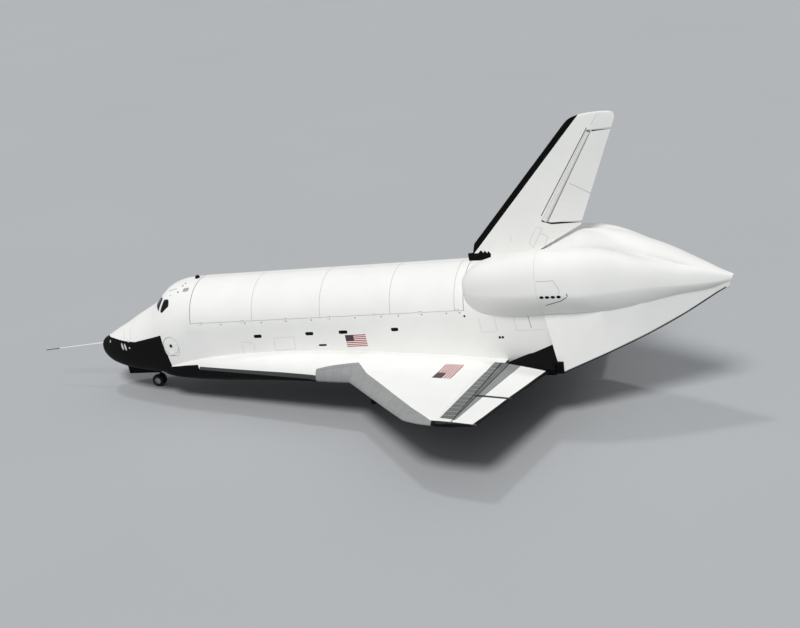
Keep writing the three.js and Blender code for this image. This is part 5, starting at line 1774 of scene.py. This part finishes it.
@dataclass
class Markings:
    """Painted marks, ports, vents and joints: thin plates that follow the skin under them.

    Places are x and z on the body's side, x and y on its roof and on the wing, x and z on the fin.
    """

    lift: float = 0.22  # how far a mark stands out of the skin
    sunk: float = 0.4
    vents: Rows = (
        (763.4, 379.9, 21, 8.4), (904.2, 380.8, 21, 8.4), (993.6, 380.9, 22.4, 8.4), (1127.2, 381.8, 18, 8.4),
        (932.8, 350.4, 20.6, 4.6), (1381.4, 351.9, 5.6, 5.6), (1388.6, 351.9, 5.6, 5.6),
        (1305.9, 406.3, 4.6, 4.6),
    )
    sill_dots: tuple[float, ...] = (
        669.2, 736.5, 782.3, 849.7, 916.9, 965.4, 1032.2, 1099.5, 1143, 1202.3, 1263.2, 1295.8,
    )
    sill_dot_height: float = 414.6
    side_lines: tuple[Outline, ...] = (
        ((717.5, 367.4), (748.7, 362.5), (744.2, 331.2), (714.5, 330.4), (717.3, 365.6)),
        ((806.4, 373), (861.4, 374.3), (858.6, 343.5), (803.1, 340.9), (806.2, 371.2)),
        ((1338, 402), (1341, 366), (1374, 366)),
        ((1376.5, 402), (1379, 367.5)),
        ((1423, 402), (1425, 367), (1455, 366.5)),
        ((1458, 366.5), (1490, 366)),
    )
    dark_lines: tuple[Outline, ...] = (((1456.5, 402), (1460, 371)),)
    hatch_frame: Outline = ((486.8, 357), (489.5, 343), (494.8, 337.1), (525, 337.1), (530.3, 343),
                            (532.3, 357))
    nose_ports: Rows = (
        (339.3, 352.5, 7, 16), (350.3, 351.9, 7, 16), (362, 366.1, 4.5, 4.5), (365.2, 351.1, 4.5, 4.5),
        (287.3, 358.1, 5, 5),
    )
    module_lines: tuple[Outline, ...] = (((335, 388), (348, 370)), ((365.6, 397.5), (370.8, 372)))
    roof_dots: Rows = (
        (547.5, 23.7, 4, 4), (543.6, 32.6, 4, 4), (536.8, 50, 4, 4), (513.8, 52.4, 2.4, 2.4),
    )
    roof_dash: Outline = ((504.5, 38.6), (529.4, 39.4))
    louvre: tuple[float, ...] = (558.7, 46.4, 17, 10)
    antenna: tuple[Point, Point] = ((570, 0, 500.5), (570, 0, 509.5))
    side_flag: tuple[float, ...] = (996.5, 1050.0, 343.5, 373.0)
    wing_flag: tuple[tuple[float, float], ...] = ((1256, 230), (1263, 157), (1305, 155), (1301.5, 233))
    stripes: int = 13
    canton: tuple[float, float] = (0.4, 7 / 13)
    pod_ports: Rows = (
        (1510.4, 456, 9.6, 7.2), (1522.8, 455.4, 9.6, 7.2), (1535.4, 454.9, 9.6, 7.2),
        (1548.2, 454.4, 9.6, 7.2),
    )
    pod_lines: tuple[Outline, ...] = (
        ((1504.5, 493), (1541, 492), (1551, 474), (1551.5, 462)),
    )
    pod_dark: tuple[Outline, ...] = (((1565.5, 452), (1550, 443), (1513, 433.5)),
                                     ((1566, 460), (1567.5, 453.5)))
    fin_black: Outline = (
        (1300, 496), (1330, 502), (1356, 509), (1357.5, 517), (1352, 523.5), (1348, 518.5), (1344, 525),
        (1339, 520), (1334, 526), (1326, 519.5), (1300, 519),
    )
    fin_lines: tuple[Outline, ...] = (
        ((1654, 813), (1638.5, 792)),
        ((1476.7, 572.9), (1492, 570.8), (1463.3, 527.2), (1455.4, 538.3), (1476.2, 571.5)),
        ((1486.1, 558.8), (1500.8, 549.3), (1485.4, 521.2)),
        ((1412, 558), (1413.1, 544.2)),
    )
    fin_dark: tuple[Outline, ...] = (((1628, 786), (1494, 599)),)
    rudder_line: Outline = ((1570, 667), (1616, 635.5))

    def build(self) -> None:
        """Lays every mark on its surface."""
        side = self.skin(HULL, 262, 1500)
        port = self.side(side)
        vents = [oval(x, z, w, h, 5) for x, z, w, h in self.vents]
        dots = [oval(x, self.sill_dot_height, 2.8, 2.8) for x in self.sill_dots]
        dark = [ribbon(line, 0.9) for line in self.dark_lines]
        self.both("side_vents", port(vents), MARK_BLACK)
        self.both("sill_dots", port(dots), HOSE_BLACK)
        self.both("side_lines", port([ribbon(line, 0.7) for line in self.side_lines]), MARK_PALE)
        self.both("side_dark_lines", port(dark), JOINT_DARK)
        self.one("hatch_outline", port([ribbon(self.hatch_frame, 0.8)]), MARK_GREY)
        self.both("nose_ports", port([oval(x, z, w, h, 2, -0.4) for x, z, w, h in self.nose_ports]),
                  MARK_PALE)
        self.both("module_lines", port([ribbon(line, 0.8) for line in self.module_lines]), MARK_PALE)
        roof = self.top(self.skin(HULL, 500, 581.9), 440)
        self.both("roof_dots", roof([oval(*dot) for dot in self.roof_dots] + [ribbon(self.roof_dash, 0.8)]),
                  MARK_BLACK)
        self.both("roof_louvre", roof([oval(*self.louvre, 8)]), MARK_GREY)
        self.one("crown_antenna",
                 turned(*self.antenna, [(0, 6.5), (0.45, 6), (0.75, 4.8), (0.93, 2.8), (1, 0.6)], 28),
                 MARK_BLACK)
        self.flag("side_flag", self.side_corners(), port)
        wing = self.top(WING.whole.moved(lambda p: p + (0, 0, self.lift)).cut(
            WING.whole.moved(lambda p: p - (0, 0, self.sunk))), 200)
        self.flag("wing_flag", self.wing_flag, wing)
        pod = self.side(self.skin(POD, 1500.4, 1600).mirrored())
        self.both("pod_ports", pod([oval(*place) for place in self.pod_ports]), MARK_BLACK)
        self.both("pod_lines", pod([ribbon(line, 0.8) for line in self.pod_lines]), MARK_GREY)
        self.both("pod_joint", pod([ribbon(line, 1.6) for line in self.pod_dark]), HOSE_BLACK)
        fin = self.fin()
        self.one("fin_root_tiles", fin([self.fin_black]), BLACK_SIDE_TILE)
        self.one("fin_lines", fin([ribbon(line, 0.8) for line in self.fin_lines]), MARK_PALE)
        self.one("fin_dark_line", fin([ribbon(line, 1.7) for line in self.fin_dark]), JOINT_DARK)
        half = block((1400, 0.3, 500), (1800, 40, 900))
        seam = fin([ribbon(self.rudder_line, 0.9)]).keep(half)
        for side_name in SIDES:
            make_piece(f"rudder_seam_{side_name}", on_side(seam, side_name), f"rudder_panel_{side_name}",
                       "white_coating", [MARK_GREY])
        edges = [(x, chine + 0.3, bottom + 1.6) for x, _, _, _, chine, bottom in CONE[1:-1]]
        edges.append((1878.0, 6.5, 407.5))
        self.both("cone_edge_line", pipe(edges, 1.1, 10).mirrored(), MARK_BLACK)

    def skin(self, form: BodyForm, start: float, end: float) -> Solid:
        """Makes a thin shell round a form's surface."""
        return form.solid(start, end, self.lift, 28).cut(form.solid(start - 1, end + 1, -self.sunk, 28))

    def side(self, shell: Solid) -> Callable[[Sequence[Outline]], Solid]:
        """Gives what cuts side marks out of a shell's port side."""
        return lambda marks: shell.keep(together(prism(mark, "y", -FAR, -1) for mark in marks))

    def top(self, shell: Solid, floor: float) -> Callable[[Sequence[Outline]], Solid]:
        """Gives what cuts marks seen from above out of a shell's starboard side."""
        return lambda marks: shell.keep(together(prism(mark, "z", floor, FAR * 2)
                                                 for mark in marks)).mirrored()

    def fin(self) -> Callable[[Sequence[Outline]], Solid]:
        """Gives what cuts marks out of both faces of the fin."""
        raised = FIN.whole.moved(lambda p: p + np.sign(p[:, 1:2]) * (0, self.lift, 0))
        shell = raised.cut(FIN.whole)
        return lambda marks: shell.keep(together(prism(mark, "y", -40, 40) for mark in marks))

    def one(self, name: str, solid: Solid, finish: Finish) -> None:
        """Adds a mark that is on the craft once."""
        make_piece(name, solid, FIXED, "white_coating", [finish])

    def both(self, name: str, solid: Solid, finish: Finish) -> None:
        """Adds a port mark and its mirror image."""
        self.one(f"{name}_left", solid, finish)
        self.one(f"{name}_right", solid.mirrored(), finish)

    def side_corners(self) -> Sequence[tuple[float, float]]:
        """Gives the side flag's corners: upper left first, then along its top."""
        front, back, low, high = self.side_flag
        return (front, high), (back, high), (back, low), (front, low)

    def flag(self, name: str, corners: Sequence[tuple[float, float]],
             lay: Callable[[Sequence[Outline]], Solid]) -> None:
        """Lays plain stripes and a plain canton between four corners.

        Args:
            name: the pieces' name.
            corners: the canton's corner, then on along the first stripe and round.
            lay: what lays outlines on the surface.
        """
        first, second, third, fourth = (np.array(corner, float) for corner in corners)

        def patch(left: float, right: float, top: float, bottom: float) -> Outline:
            """Outlines a part of the flag, given by shares of its length and height."""
            spots = ((left, top), (right, top), (right, bottom), (left, bottom))
            return [tuple((first * (1 - s) + second * s) * (1 - t) + (fourth * (1 - s) + third * s) * t)
                    for s, t in spots]

        length, height = self.canton
        step = 1 / self.stripes
        red = [patch(length if (k + 0.5) * step < height else 0, 1, k * step, (k + 1) * step)
               for k in range(0, self.stripes, 2)]
        white = [patch(length if (k + 0.5) * step < height else 0, 1, k * step + 0.001,
                       (k + 1) * step - 0.001)
                 for k in range(1, self.stripes, 2)]
        self.one(f"{name}_red", lay(red), FLAG_RED)
        self.one(f"{name}_white", lay(white), FLAG_WHITE)
        self.one(f"{name}_canton", lay([patch(0, length, 0, height)]), FLAG_DARK)


# Landing gear


@dataclass
class Gear:
    """One landing gear: its wheels and the sizes that its legs share."""

    x: float
    y: float
    tyre: float
    width: float
    spacing: float
    rim: float
    axle: float
    bolts: int

    @property
    def height(self) -> float:
        """Height of the axle over the craft's base plane."""
        return 167 + (1172 - self.x) * math.tan(PITCH) + self.tyre / math.cos(PITCH)

    def tyre_solid(self, y: float) -> Solid:
        """Makes a tyre with rounded shoulders, grooves round its tread and a rib on each wall."""
        half, depth = self.width / 2, self.tyre - self.rim
        wall = [(0.0, 0.80), (0.06, 0.86), (0.2, 0.93), (0.42, 0.99), (0.5, 1.0), (0.53, 1.015), (0.58, 1.0),
                (0.7, 0.96), (0.84, 0.86), (0.94, 0.72), (0.985, 0.58)]
        profile = [(-half * over, self.rim + depth * up) for up, over in wall]
        tread = 0.52 * half
        for groove in (-0.66, -0.22, 0.22, 0.66):
            middle = groove * tread
            profile += [(middle - 0.3, self.tyre), (middle - 0.22, self.tyre - 0.4),
                        (middle + 0.22, self.tyre - 0.4), (middle + 0.3, self.tyre)]
        profile += [(half * over, self.rim + depth * up) for up, over in reversed(wall)]
        return self.wheel_part(y, [*profile, *self.bore(half * 0.8)], 96)

    def bore(self, half: float) -> Outline:
        """Gives the tyre's inner wall, a little into the rim."""
        return [(half, self.rim - 0.2), (-half, self.rim - 0.2)]

    def wheel_part(self, y: float, profile: Outline, sides: int) -> Solid:
        """Turns a closed profile of offset and radius about the axle into a ring."""
        angle = np.arange(sides) * 2 * np.pi / sides
        offsets, radii = np.array(profile, float).T
        rings = np.stack([self.x + np.outer(np.cos(angle), radii), np.tile(y + offsets, (sides, 1)),
                          self.height + np.outer(np.sin(angle), radii)], -1)
        count = len(profile)
        faces = [(a * count + k, a * count + (k + 1) % count, b * count + (k + 1) % count, b * count + k)
                 for a, b in ((a, (a + 1) % sides) for a in range(sides)) for k in range(count)]
        return Solid.of(rings.reshape(-1, 3), faces)

    def hub(self, y: float, outward: int) -> Solid:
        """Makes a wheel: a dished disc with flanges, lightening holes, bolts and a cap."""
        half, rim = self.width / 2, self.rim
        dish = [(-0.8 * half, rim - 0.15), (-0.82 * half, rim + 0.5), (-0.74 * half, rim + 0.55),
                (-0.7 * half, rim - 0.15), (0.7 * half, rim - 0.15), (0.74 * half, rim + 0.55),
                (0.82 * half, rim + 0.5), (0.8 * half, rim - 0.15), (0.76 * half, 0.92 * rim),
                (0.25 * half, 0.86 * rim), (0.3 * half, 0.5 * rim), (0.44 * half, 0.4 * rim),
                (0.46 * half, 0.24 * rim), (-0.46 * half, 0.24 * rim), (-0.44 * half, 0.4 * rim),
                (-0.3 * half, 0.5 * rim), (-0.25 * half, 0.86 * rim), (-0.76 * half, 0.92 * rim)]
        disc = self.wheel_part(y, dish, 72)
        spots = np.arange(self.bolts) * 2 * np.pi / self.bolts
        circle = np.column_stack([np.cos(spots), np.zeros(self.bolts), np.sin(spots)])
        middle = np.array((self.x, y, self.height))
        holes = [middle + way * 0.68 * rim for way in circle]
        disc = disc.cut(together(rod(p - (0, half, 0), p + (0, half, 0), 0.1 * rim, sides=20) for p in holes))
        bolts = [middle + way * 0.34 * rim for way in circle]
        heads = together(rod(p, p + (0, outward * 0.56 * half, 0), 0.045 * rim, sides=6) for p in bolts)
        cap = turned(middle, middle + (0, outward * half, 0),
                     [(0, 0.3 * rim), (0.62, 0.3 * rim), (0.7, 0.24 * rim), (0.73, 0.05 * rim)], 32)
        return disc.join(heads, cap)

    def wheels(self) -> tuple[Solid, list[Solid]]:
        """Makes the two wheels with their axle, and the two tyres."""
        spots = [self.y - self.spacing, self.y + self.spacing]
        hubs = [self.hub(y, 1 if y > self.y else -1) for y in spots]
        axle = rod((self.x, spots[0], self.height), (self.x, spots[1], self.height), self.axle, sides=32)
        return axle.join(*hubs), [self.tyre_solid(y) for y in spots]


MAIN_GEAR = Gear(1172, 136, 22.25, 15, 14.5, 10.5, 2.4, 10)
NOSE_GEAR = Gear(378.6, 0, 16, 8.8, 7.6, 8, 1.7, 8)


def knuckled(start: Point, end: Point, radius: float, eye: float) -> Solid:
    """Makes a link with a round eye across each end."""
    link = rod(start, end, radius, radius * 0.85, 20)
    eyes = [rod(np.array(p) - (0, eye, 0), np.array(p) + (0, eye, 0), radius * 1.5, sides=24)
            for p in (start, end)]
    return link.join(*eyes)


@dataclass
class LandingGear:
    """The legs, wheels and doors of the three landing gears."""

    main_well: tuple[float, ...] = (1056.0, 1200.0, 108.0, 162.0, 309.0)
    nose_well: tuple[float, ...] = (305.0, 405.0, 19.5, 316.0)

    def build(self) -> None:
        """Builds the main gear on both sides and the nose gear."""
        for side in SIDES:
            self.main(side)
        self.nose()

    def main(self, side: str) -> None:
        """Builds one main gear."""
        gear = MAIN_GEAR
        x, y, low = gear.x, gear.y, gear.height
        post = turned((x, y, 309), (x, y, 226), [(0, 6.4), (0.1, 6.4), (0.12, 7.0), (0.2, 7.0), (0.22, 6.2),
                                                 (0.86, 5.8), (0.88, 6.3), (1, 6.3)], 40)
        pivot = turned((x, y - 26, 300), (x, y + 25.5, 300), [(0, 3.2), (0.06, 3.2), (0.08, 4.0), (0.2, 4.0),
                                                              (0.22, 3.2), (0.78, 3.2), (0.8, 4.0),
                                                              (0.92, 4.0), (0.94, 3.2), (1, 3.2)], 32)
        reach = gear.spacing - gear.width / 2 - 0.5
        sleeve = turned((x, y - reach, low), (x, y + reach, low),
                        [(0, 4.0), (0.12, 4.0), (0.2, 4.8), (0.8, 4.8),
                                                                   (0.88, 4.0), (1, 4.0)], 32)
        sleeve = sleeve.cut(rod((x, y - 20, low), (x, y + 20, low), gear.axle + 0.5, sides=48))
        brace = knuckled((x, y, 236), (x - 62, y, 305), 2.4, 3.2)
        links = knuckled((x + 6, y, low + 7), (x + 13, y, 216), 1.4, 2.6).join(
            knuckled((x + 13, y, 216), (x + 4, y, 234), 1.4, 2.2))
        foot = rod((x, y, 228), (x, y, low + 2), 4.6, 4.6).cut(rod((x, y, 232), (x, y, low - 1), 3.9))
        leg = post.join(pivot, sleeve, brace, links,
                        foot.keep(block((x - 9, y - 9, low + 3), (x + 9, y + 9, low + 9))))
        piston = rod((x, y, 240), (x, y, low + 4.2), 3.9, sides=40)
        piston = piston.cut(post, sleeve)
        tag = FIXED, "gear_metal"
        make_piece(f"main_leg_{side}", on_side(leg, side), *tag, [GEAR_PAINT], [f"main_gear_leg_{side}"],
                   0.12)
        make_piece(f"main_oleo_{side}", on_side(piston, side), *tag, [CHROME])
        hose = pipe([(x - 6.5, y - 3, 298), (x - 6.9, y - 3.2, 260), (x - 6.6, y - 3, 230),
                     (x - 9, y - 4, 215), (x - 6.2, y - 3.6, low + 5.5), (x - 3.9, y - 3.8, low + 2.2)], 0.55)
        clips = together(turned((x, y, z), (x, y, z - 1.4), [(0, 7.3), (1, 7.3)], 40)
                         for z in (290, 266, 244))
        rings = clips.cut(rod((x, y, 309), (x, y, 220), 5.6))
        make_piece(f"main_hose_{side}", on_side(hose, side), *tag, [HOSE_BLACK])
        make_piece(f"main_clips_{side}", on_side(rings, side), *tag, [ALLOY])
        hubs, tyres = gear.wheels()
        body = f"main_wheels_{side}"
        make_piece(f"main_wheels_metal_{side}", on_side(hubs, side), body, "gear_metal", [ALLOY],
                   [f"main_wheel_hubs_{side}"])
        for place, tyre in zip(("inner", "outer"), tyres):
            make_piece(f"main_tyre_tread_{place}_{side}", on_side(tyre, side), body, "tyre_rubber", [RUBBER],
                       [f"main_tyre_{place}_{side}"])
        self.door(f"main_gear_door_{side}", side, (1058, 1198), (159.85, 161.95), (222, 286))
        self.well(f"main_well_{side}", side, self.main_well)

    def door(self, node: str, side: str, xs: Sequence[float], ys: Sequence[float],
             zs: Sequence[float]) -> None:
        """Builds an open gear door: a tiled outer plate, a primed inner plate and stiffening ribs.

        Args:
            node: the CAD node that it stands for.
            side: right or left.
            xs: its ends along the craft.
            ys: its inner and outer face.
            zs: its lower and upper edge.
        """
        inner, outer = ys
        part = (outer - inner) / 2
        shell = block((xs[0], inner + part, zs[0]), (xs[1], outer, zs[1]))
        plate = block((xs[0] + 0.6, inner, zs[0] + 0.6), (xs[1] - 0.6, inner + part + 0.05, zs[1] - 0.6), 1)
        pockets = [block((x + 2.5, inner - 1, low), (x + 15, inner + part * 0.8, high), 1)
                   for x in np.arange(xs[0] + 1, xs[1] - 15, 17.4)
                   for low, high in ((zs[0] + 3, sum(zs) / 2 - 1.5), (sum(zs) / 2 + 1.5, zs[1] - 3))]
        whole = shell.join(plate.cut(together(pockets)))
        make_piece(f"{node}_skin", on_side(whole, side), FIXED, "white_coating",
                   [BLACK_SIDE_TILE, INNER_PRIMER], [node])

    def well(self, name: str, side: str, sizes: Sequence[float]) -> None:
        """Adds ribs and pipes to the roof of a wheel well."""
        front, back, inner, outer, roof = sizes
        ribs = [block((x, inner + 0.1, roof - 2.4), (x + 1.4, outer - 0.1, roof + 0.3))
                for x in np.arange(front + 10, back - 4, 15.0)]
        runs = [pipe([(front + 1, y, roof - 3.4), (front + 50, y, roof - 3.4), (back - 1, y, roof - 3.4)],
                     0.6)
                for y in (inner + 6, inner + 8.5, outer - 7)]
        make_piece(f"{name}_ribs", on_side(together(ribs), side), FIXED, "inner_structure", [INNER_PRIMER],
                   bevel=0.1)
        make_piece(f"{name}_pipes", on_side(together(runs), side), FIXED, "gear_metal", [ALLOY])

    def nose(self) -> None:
        """Builds the nose gear."""
        gear = NOSE_GEAR
        x, low = gear.x, gear.height
        sleeve = turned((x, 0, 314), (x, 0, 248), [(0, 4.4), (0.3, 4.4), (0.31, 4.9), (0.4, 4.9), (0.41, 4.4),
                                                   (0.86, 4.4), (0.87, 4.8), (1, 4.8)], 40)
        bore = rod((x, 0, 262.5), (x, 0, 240), 3.5, sides=64)
        pivot = turned((x, -19.4, 304), (x, 19.4, 304),
                       [(0, 2.6), (0.1, 2.6), (0.12, 3.3), (0.24, 3.3), (0.26, 2.6),
                                                         (0.74, 2.6), (0.76, 3.3), (0.88, 3.3), (0.9, 2.6),
                                                         (1, 2.6)],
                       32)
        brace = knuckled((x, 0, 266), (x - 56, 0, 312.5), 1.9, 2.4)
        lamp = turned((x - 8.4, 0, 258), (x - 4, 0, 258), [(0, 2.6), (0.5, 2.6), (1, 1.2)], 32)
        leg = sleeve.join(pivot, brace, lamp).cut(bore)
        tag = FIXED, "gear_metal"
        make_piece("nose_leg", leg, *tag, [GEAR_PAINT], ["nose_gear_leg"], 0.1)
        lens = turned((x - 8.7, 0, 258), (x - 8.3, 0, 258), [(0, 0.5), (0.4, 2.0), (1, 2.4)], 32)
        make_piece("nose_leg_lamp_glass", lens, *tag, [CHROME])
        hose = pipe([(x - 5.2, -2, 300), (x - 5.4, -2, 275), (x - 5.1, -2, 250)], 0.45)
        make_piece("nose_leg_hose", hose, *tag, [HOSE_BLACK])
        piston = rod((x, 0, 262), (x, 0, low + 3.2), 3.0, sides=40).cut(
            rod((x, -9, low), (x, 9, low), gear.axle + 0.5, sides=48))
        make_piece("nose_oleo", piston, "nose_gear_piston", "gear_metal", [CHROME], ["nose_gear_piston"])
        eye = turned((x, -2.9, low), (x, 2.9, low), [(0, 3.3), (0.1, 3.6), (0.9, 3.6), (1, 3.3)], 40)
        eye = eye.cut(rod((x, -9, low), (x, 9, low), gear.axle + 0.5, sides=48))
        make_piece("nose_axle_housing", eye, "nose_gear_piston", "gear_metal", [GEAR_PAINT])
        hubs, tyres = gear.wheels()
        make_piece("nose_wheels_metal", hubs, "nose_wheels", "gear_metal", [ALLOY], ["nose_wheel_hubs"])
        for side, tyre in zip(("left", "right"), tyres):
            make_piece(f"nose_tyre_tread_{side}", tyre, "nose_wheels", "tyre_rubber", [RUBBER],
                       [f"nose_tyre_{side}"])
        for side in SIDES:
            self.door(f"nose_gear_door_{side}", side, (306.5, 403.5), (18.1, 19.5), (259, 287))
            front, back, half, roof = self.nose_well
            self.well(f"nose_well_{side}", side, (front, back, 8, half, roof))


# Cabin fittings


@dataclass
class CabinFittings:
    """What can be seen through the windows and the hatch: seats, console and deck."""

    deck: float = 418.0
    seat_middle: float = 24.0

    def build(self) -> None:
        """Builds the seats, the console and the deck."""
        for side in SIDES:
            self.seat(side)
        self.console()
        self.deck_plate()

    def seat(self, side: str) -> None:
        """Builds one seat: a metal shell on legs with padded cushions and a head rest."""
        y, deck = self.seat_middle, self.deck
        rails = [block((490, y + off - 1, deck + 0.2), (507, y + off + 1, deck + 2)) for off in (-7.5, 7.5)]
        legs = [rod((x, y + off, deck + 1), (x + lean, y + off, deck + 12), 0.8, sides=16)
                for x, lean in ((492, -1), (505, -2)) for off in (-7.5, 7.5)]
        pan = block((489.2, y - 9.6, deck + 11), (504.5, y + 9.6, deck + 12.4))
        back = prism([(502.5, deck + 11.5), (504.5, deck + 11.5), (513.6, deck + 47.6),
                      (511.8, deck + 47.6)], "y",
                     y - 9.4, y + 9.4)
        arms = [block((491, y + off - 0.8, deck + 22), (504.5, y + off + 0.8, deck + 23.6))
                for off in (-9.6, 9.6)]
        frame_solid = rails[0].join(*rails[1:], *legs, pan, back, *arms)
        make_piece(f"seat_frame_{side}", on_side(frame_solid, side), FIXED, "gear_metal", [ALLOY],
                   [f"crew_seat_{side}"], 0.2)
        seat = block((489.4, y - 8.6, deck + 12.3), (503.2, y + 8.6, deck + 15.2))
        rest = prism([(500.8, deck + 15), (503.3, deck + 14.6), (510.6, deck + 42), (508.2, deck + 42.2)],
                     "y", y - 8.4, y + 8.4)
        head = prism([(508.2, deck + 42.8), (510.8, deck + 42.6), (512, deck + 47.2), (509.4, deck + 47.4)],
                     "y", y - 5, y + 5)
        for name, pad in (("seat", seat), ("back", rest), ("head", head)):
            piece = make_piece(f"{name}_cushion_{side}", on_side(pad, side), FIXED, "seat_cloth",
                               [SEAT_CLOTH], bevel=0.9)
            piece.modifiers["edges"].segments = 4
        straps = [prism([(499.6, deck + 15), (500.6, deck + 15), (508.3, deck + 42), (507.3, deck + 42.2)],
                        "y", y + off - 0.9, y + off + 0.9) for off in (-4, 4)]
        make_piece(f"seat_straps_{side}", on_side(together(straps), side), FIXED, "seat_cloth", [MARK_PALE])

    def console(self) -> None:
        """Builds the instrument panel with its screens, switches, levers and glare shield."""
        deck = self.deck
        outline = [(449, deck + 0.1), (469, deck + 0.1), (465, 437), (457, 437)]
        body = prism(outline, "y", -40, 40)
        pedestal = block((464, -6, deck + 0.1), (484, 6, deck + 9))
        shield = prism([(456.5, 436.6), (466.6, 436.6), (466.2, 437.6), (457.5, 437.6)], "y", -40, 40)
        make_piece("console_body", body.join(pedestal, shield), FIXED, "panel_grey", [CONSOLE],
                   ["instrument_panel"], 0.25)
        lean = np.array((-4.0, 0.0, 18.9)) / 19.3  # up along the sloping face
        out = np.array((0.978, 0.0, 0.207))  # square to it
        spots = (-32, -21, -10, 10, 21, 32)

        def on_face(y: float, up: float, width: float, height: float, thick: float) -> Solid:
            """Makes a plate on the console's sloping face."""
            middle = np.array((469.0, y, deck)) + lean * up
            corners = [middle + np.array((0, a * width / 2, 0)) + lean * b * height / 2
                       for a, b in ((-1, -1), (1, -1), (1, 1), (-1, 1))]
            return loft(np.array([[corner - out * 0.2 for corner in corners],
                                  [corner + out * thick for corner in corners]]))

        screens = [on_face(y, 10, 8, 7, 0.35) for y in spots]
        bezels = [on_face(y, 10, 9.4, 8.4, 0.2) for y in spots]
        make_piece("console_bezels", together(bezels), FIXED, "panel_grey", [MARK_PALE])
        make_piece("console_screens", together(screens), FIXED, "panel_grey", [WINDOW_GLASS])
        keys = [on_face(y, up, 1.2, 0.8, 0.7) for y in np.arange(-36, 37, 3.0) for up in (3.4, 16.4)]
        make_piece("console_switches", together(keys), FIXED, "gear_metal", [ALLOY])
        levers = [rod((474, y, deck + 8.8), (473, y, deck + 13), 0.45, 0.7, 16) for y in (-3, 0, 3)]
        sticks = [rod((484, y, deck + 0.1), (482, y, deck + 16), 0.7, 1.0, 16) for y in (-24, 24)]
        make_piece("console_levers", together([*levers, *sticks]), FIXED, "panel_grey", [HOSE_BLACK])

    def deck_plate(self) -> None:
        """Builds the flight deck with its ladder well and ladder."""
        cabin = Cabin()
        plate = block((432, -FAR, self.deck - 4), (566, FAR, self.deck))
        plate = plate.keep(hull(cabin.front, cabin.back, -cabin.wall - 0.05)).cut(
            block((528, -64, 0), (556, -34, FAR * 2)))
        make_piece("flight_deck_plate", plate, FIXED, "inner_structure", [ALLOY], ["flight_deck_floor"])
        rungs = [rod((531, -60, z), (531, -38, z), 0.8, sides=16) for z in range(334, 414, 10)]
        rails = [rod((531, y, 325), (531, y, 414.2), 1.0, sides=16) for y in (-60, -38)]
        make_piece("deck_ladder", rails[0].join(rails[1], *rungs), FIXED, "gear_metal", [ALLOY])


# Studio


@dataclass
class Studio:
    """Plain pale floor, soft light and the photograph's camera."""

    eye: Point = (2647.8, -3103.0, 1582.9)
    forward: Point = (-0.4222, 0.8452, -0.3278)
    right: Point = (0.9054, 0.3753, -0.1983)
    lens: float = 69.894
    sensor: float = 36.0
    floor_half: float = 400.0
    floor_colour: str = "B4B6B8"
    # where each soft light comes from in the craft's directions, its strength and its spread in degrees
    lights: tuple[tuple[Point, float, float], ...] = (
        ((-0.25, 0.2, 0.95), 0.5, 6.0),
        ((0.1, -0.57, 0.81), 2.1, 16.0),
    )
    sky_strength: float = 0.33
    sky_colour: str = "F2F5F8"

    def build(self) -> None:
        """Builds the floor, the lights and the camera."""
        self.camera()
        floor_mesh = bpy.data.meshes.new("floor")
        half = self.floor_half
        floor_mesh.from_pydata([(-half, -half, 0), (half, -half, 0), (half, half, 0), (-half, half, 0)], [],
                               [(0, 1, 2, 3)])
        floor = bpy.data.objects.new("floor", floor_mesh)
        bpy.context.scene.collection.objects.link(floor)
        floor_mesh.materials.append(Finish("studio_floor", self.floor_colour, roughness=0.9, tone=0.02,
                                           patch_mm=9000, grain_depth=0.0).material())
        for source, strength, spread in self.lights:
            sun = bpy.data.lights.new("light", "SUN")
            sun.energy, sun.angle = strength, math.radians(spread)
            lamp = bpy.data.objects.new("light", sun)
            lamp.rotation_mode = "QUATERNION"
            lamp.rotation_quaternion = Vector(source).to_track_quat("Z", "Y")
            bpy.context.scene.collection.objects.link(lamp)
        world = bpy.data.worlds.new("studio")
        world.use_nodes = True
        back = world.node_tree.nodes["Background"]
        back.inputs["Color"].default_value = linear(self.sky_colour)
        back.inputs["Strength"].default_value = self.sky_strength
        bpy.context.scene.world = world
        view = bpy.context.scene.view_settings
        view.view_transform, view.look = "Standard", "None"

    def camera(self) -> None:
        """Sets the camera where the photograph was taken from."""
        data = bpy.data.cameras.new("camera")
        data.lens, data.sensor_width, data.clip_end = self.lens, self.sensor, 2000.0
        camera = bpy.data.objects.new("camera", data)
        bpy.context.scene.collection.objects.link(camera)
        ahead, aside = STATIONS.direction(self.forward), STATIONS.direction(self.right)
        ahead /= np.linalg.norm(ahead)
        aside -= ahead * (aside @ ahead)
        aside /= np.linalg.norm(aside)
        place = STATIONS.to_frame(self.eye)
        axes = np.column_stack([aside, np.cross(aside, ahead), -ahead, place])
        camera.matrix_world = Matrix([*axes.tolist(), (0, 0, 0, 1)])
        bpy.context.scene.camera = camera


def dress_kept_nodes() -> None:
    """Gives every CAD node that still shows a material of its own."""
    for name, node in frame["nodes"].items():
        if not node.hide_render:
            node.data.materials.clear()
            node.data.materials.append((INNER_PRIMER if name == "engine_block" else PLAIN_SKIN).material())


def main() -> None:
    """Builds the craft and the studio in order."""
    logging.basicConfig(level=logging.INFO, format="%(message)s")
    Studio().build()
    for part in (Boom(), ForwardFuselage(), PayloadBay(), AftFuselage(), TailCone(), Wing(), Fin(),
                 Markings(), LandingGear(), CabinFittings()):
        log.info("building %s", type(part).__name__)
        part.build()
    dress_kept_nodes()
    for mesh in [mesh for mesh in bpy.data.meshes if not mesh.users]:
        bpy.data.meshes.remove(mesh)


if __name__ == "__main__":
    main()
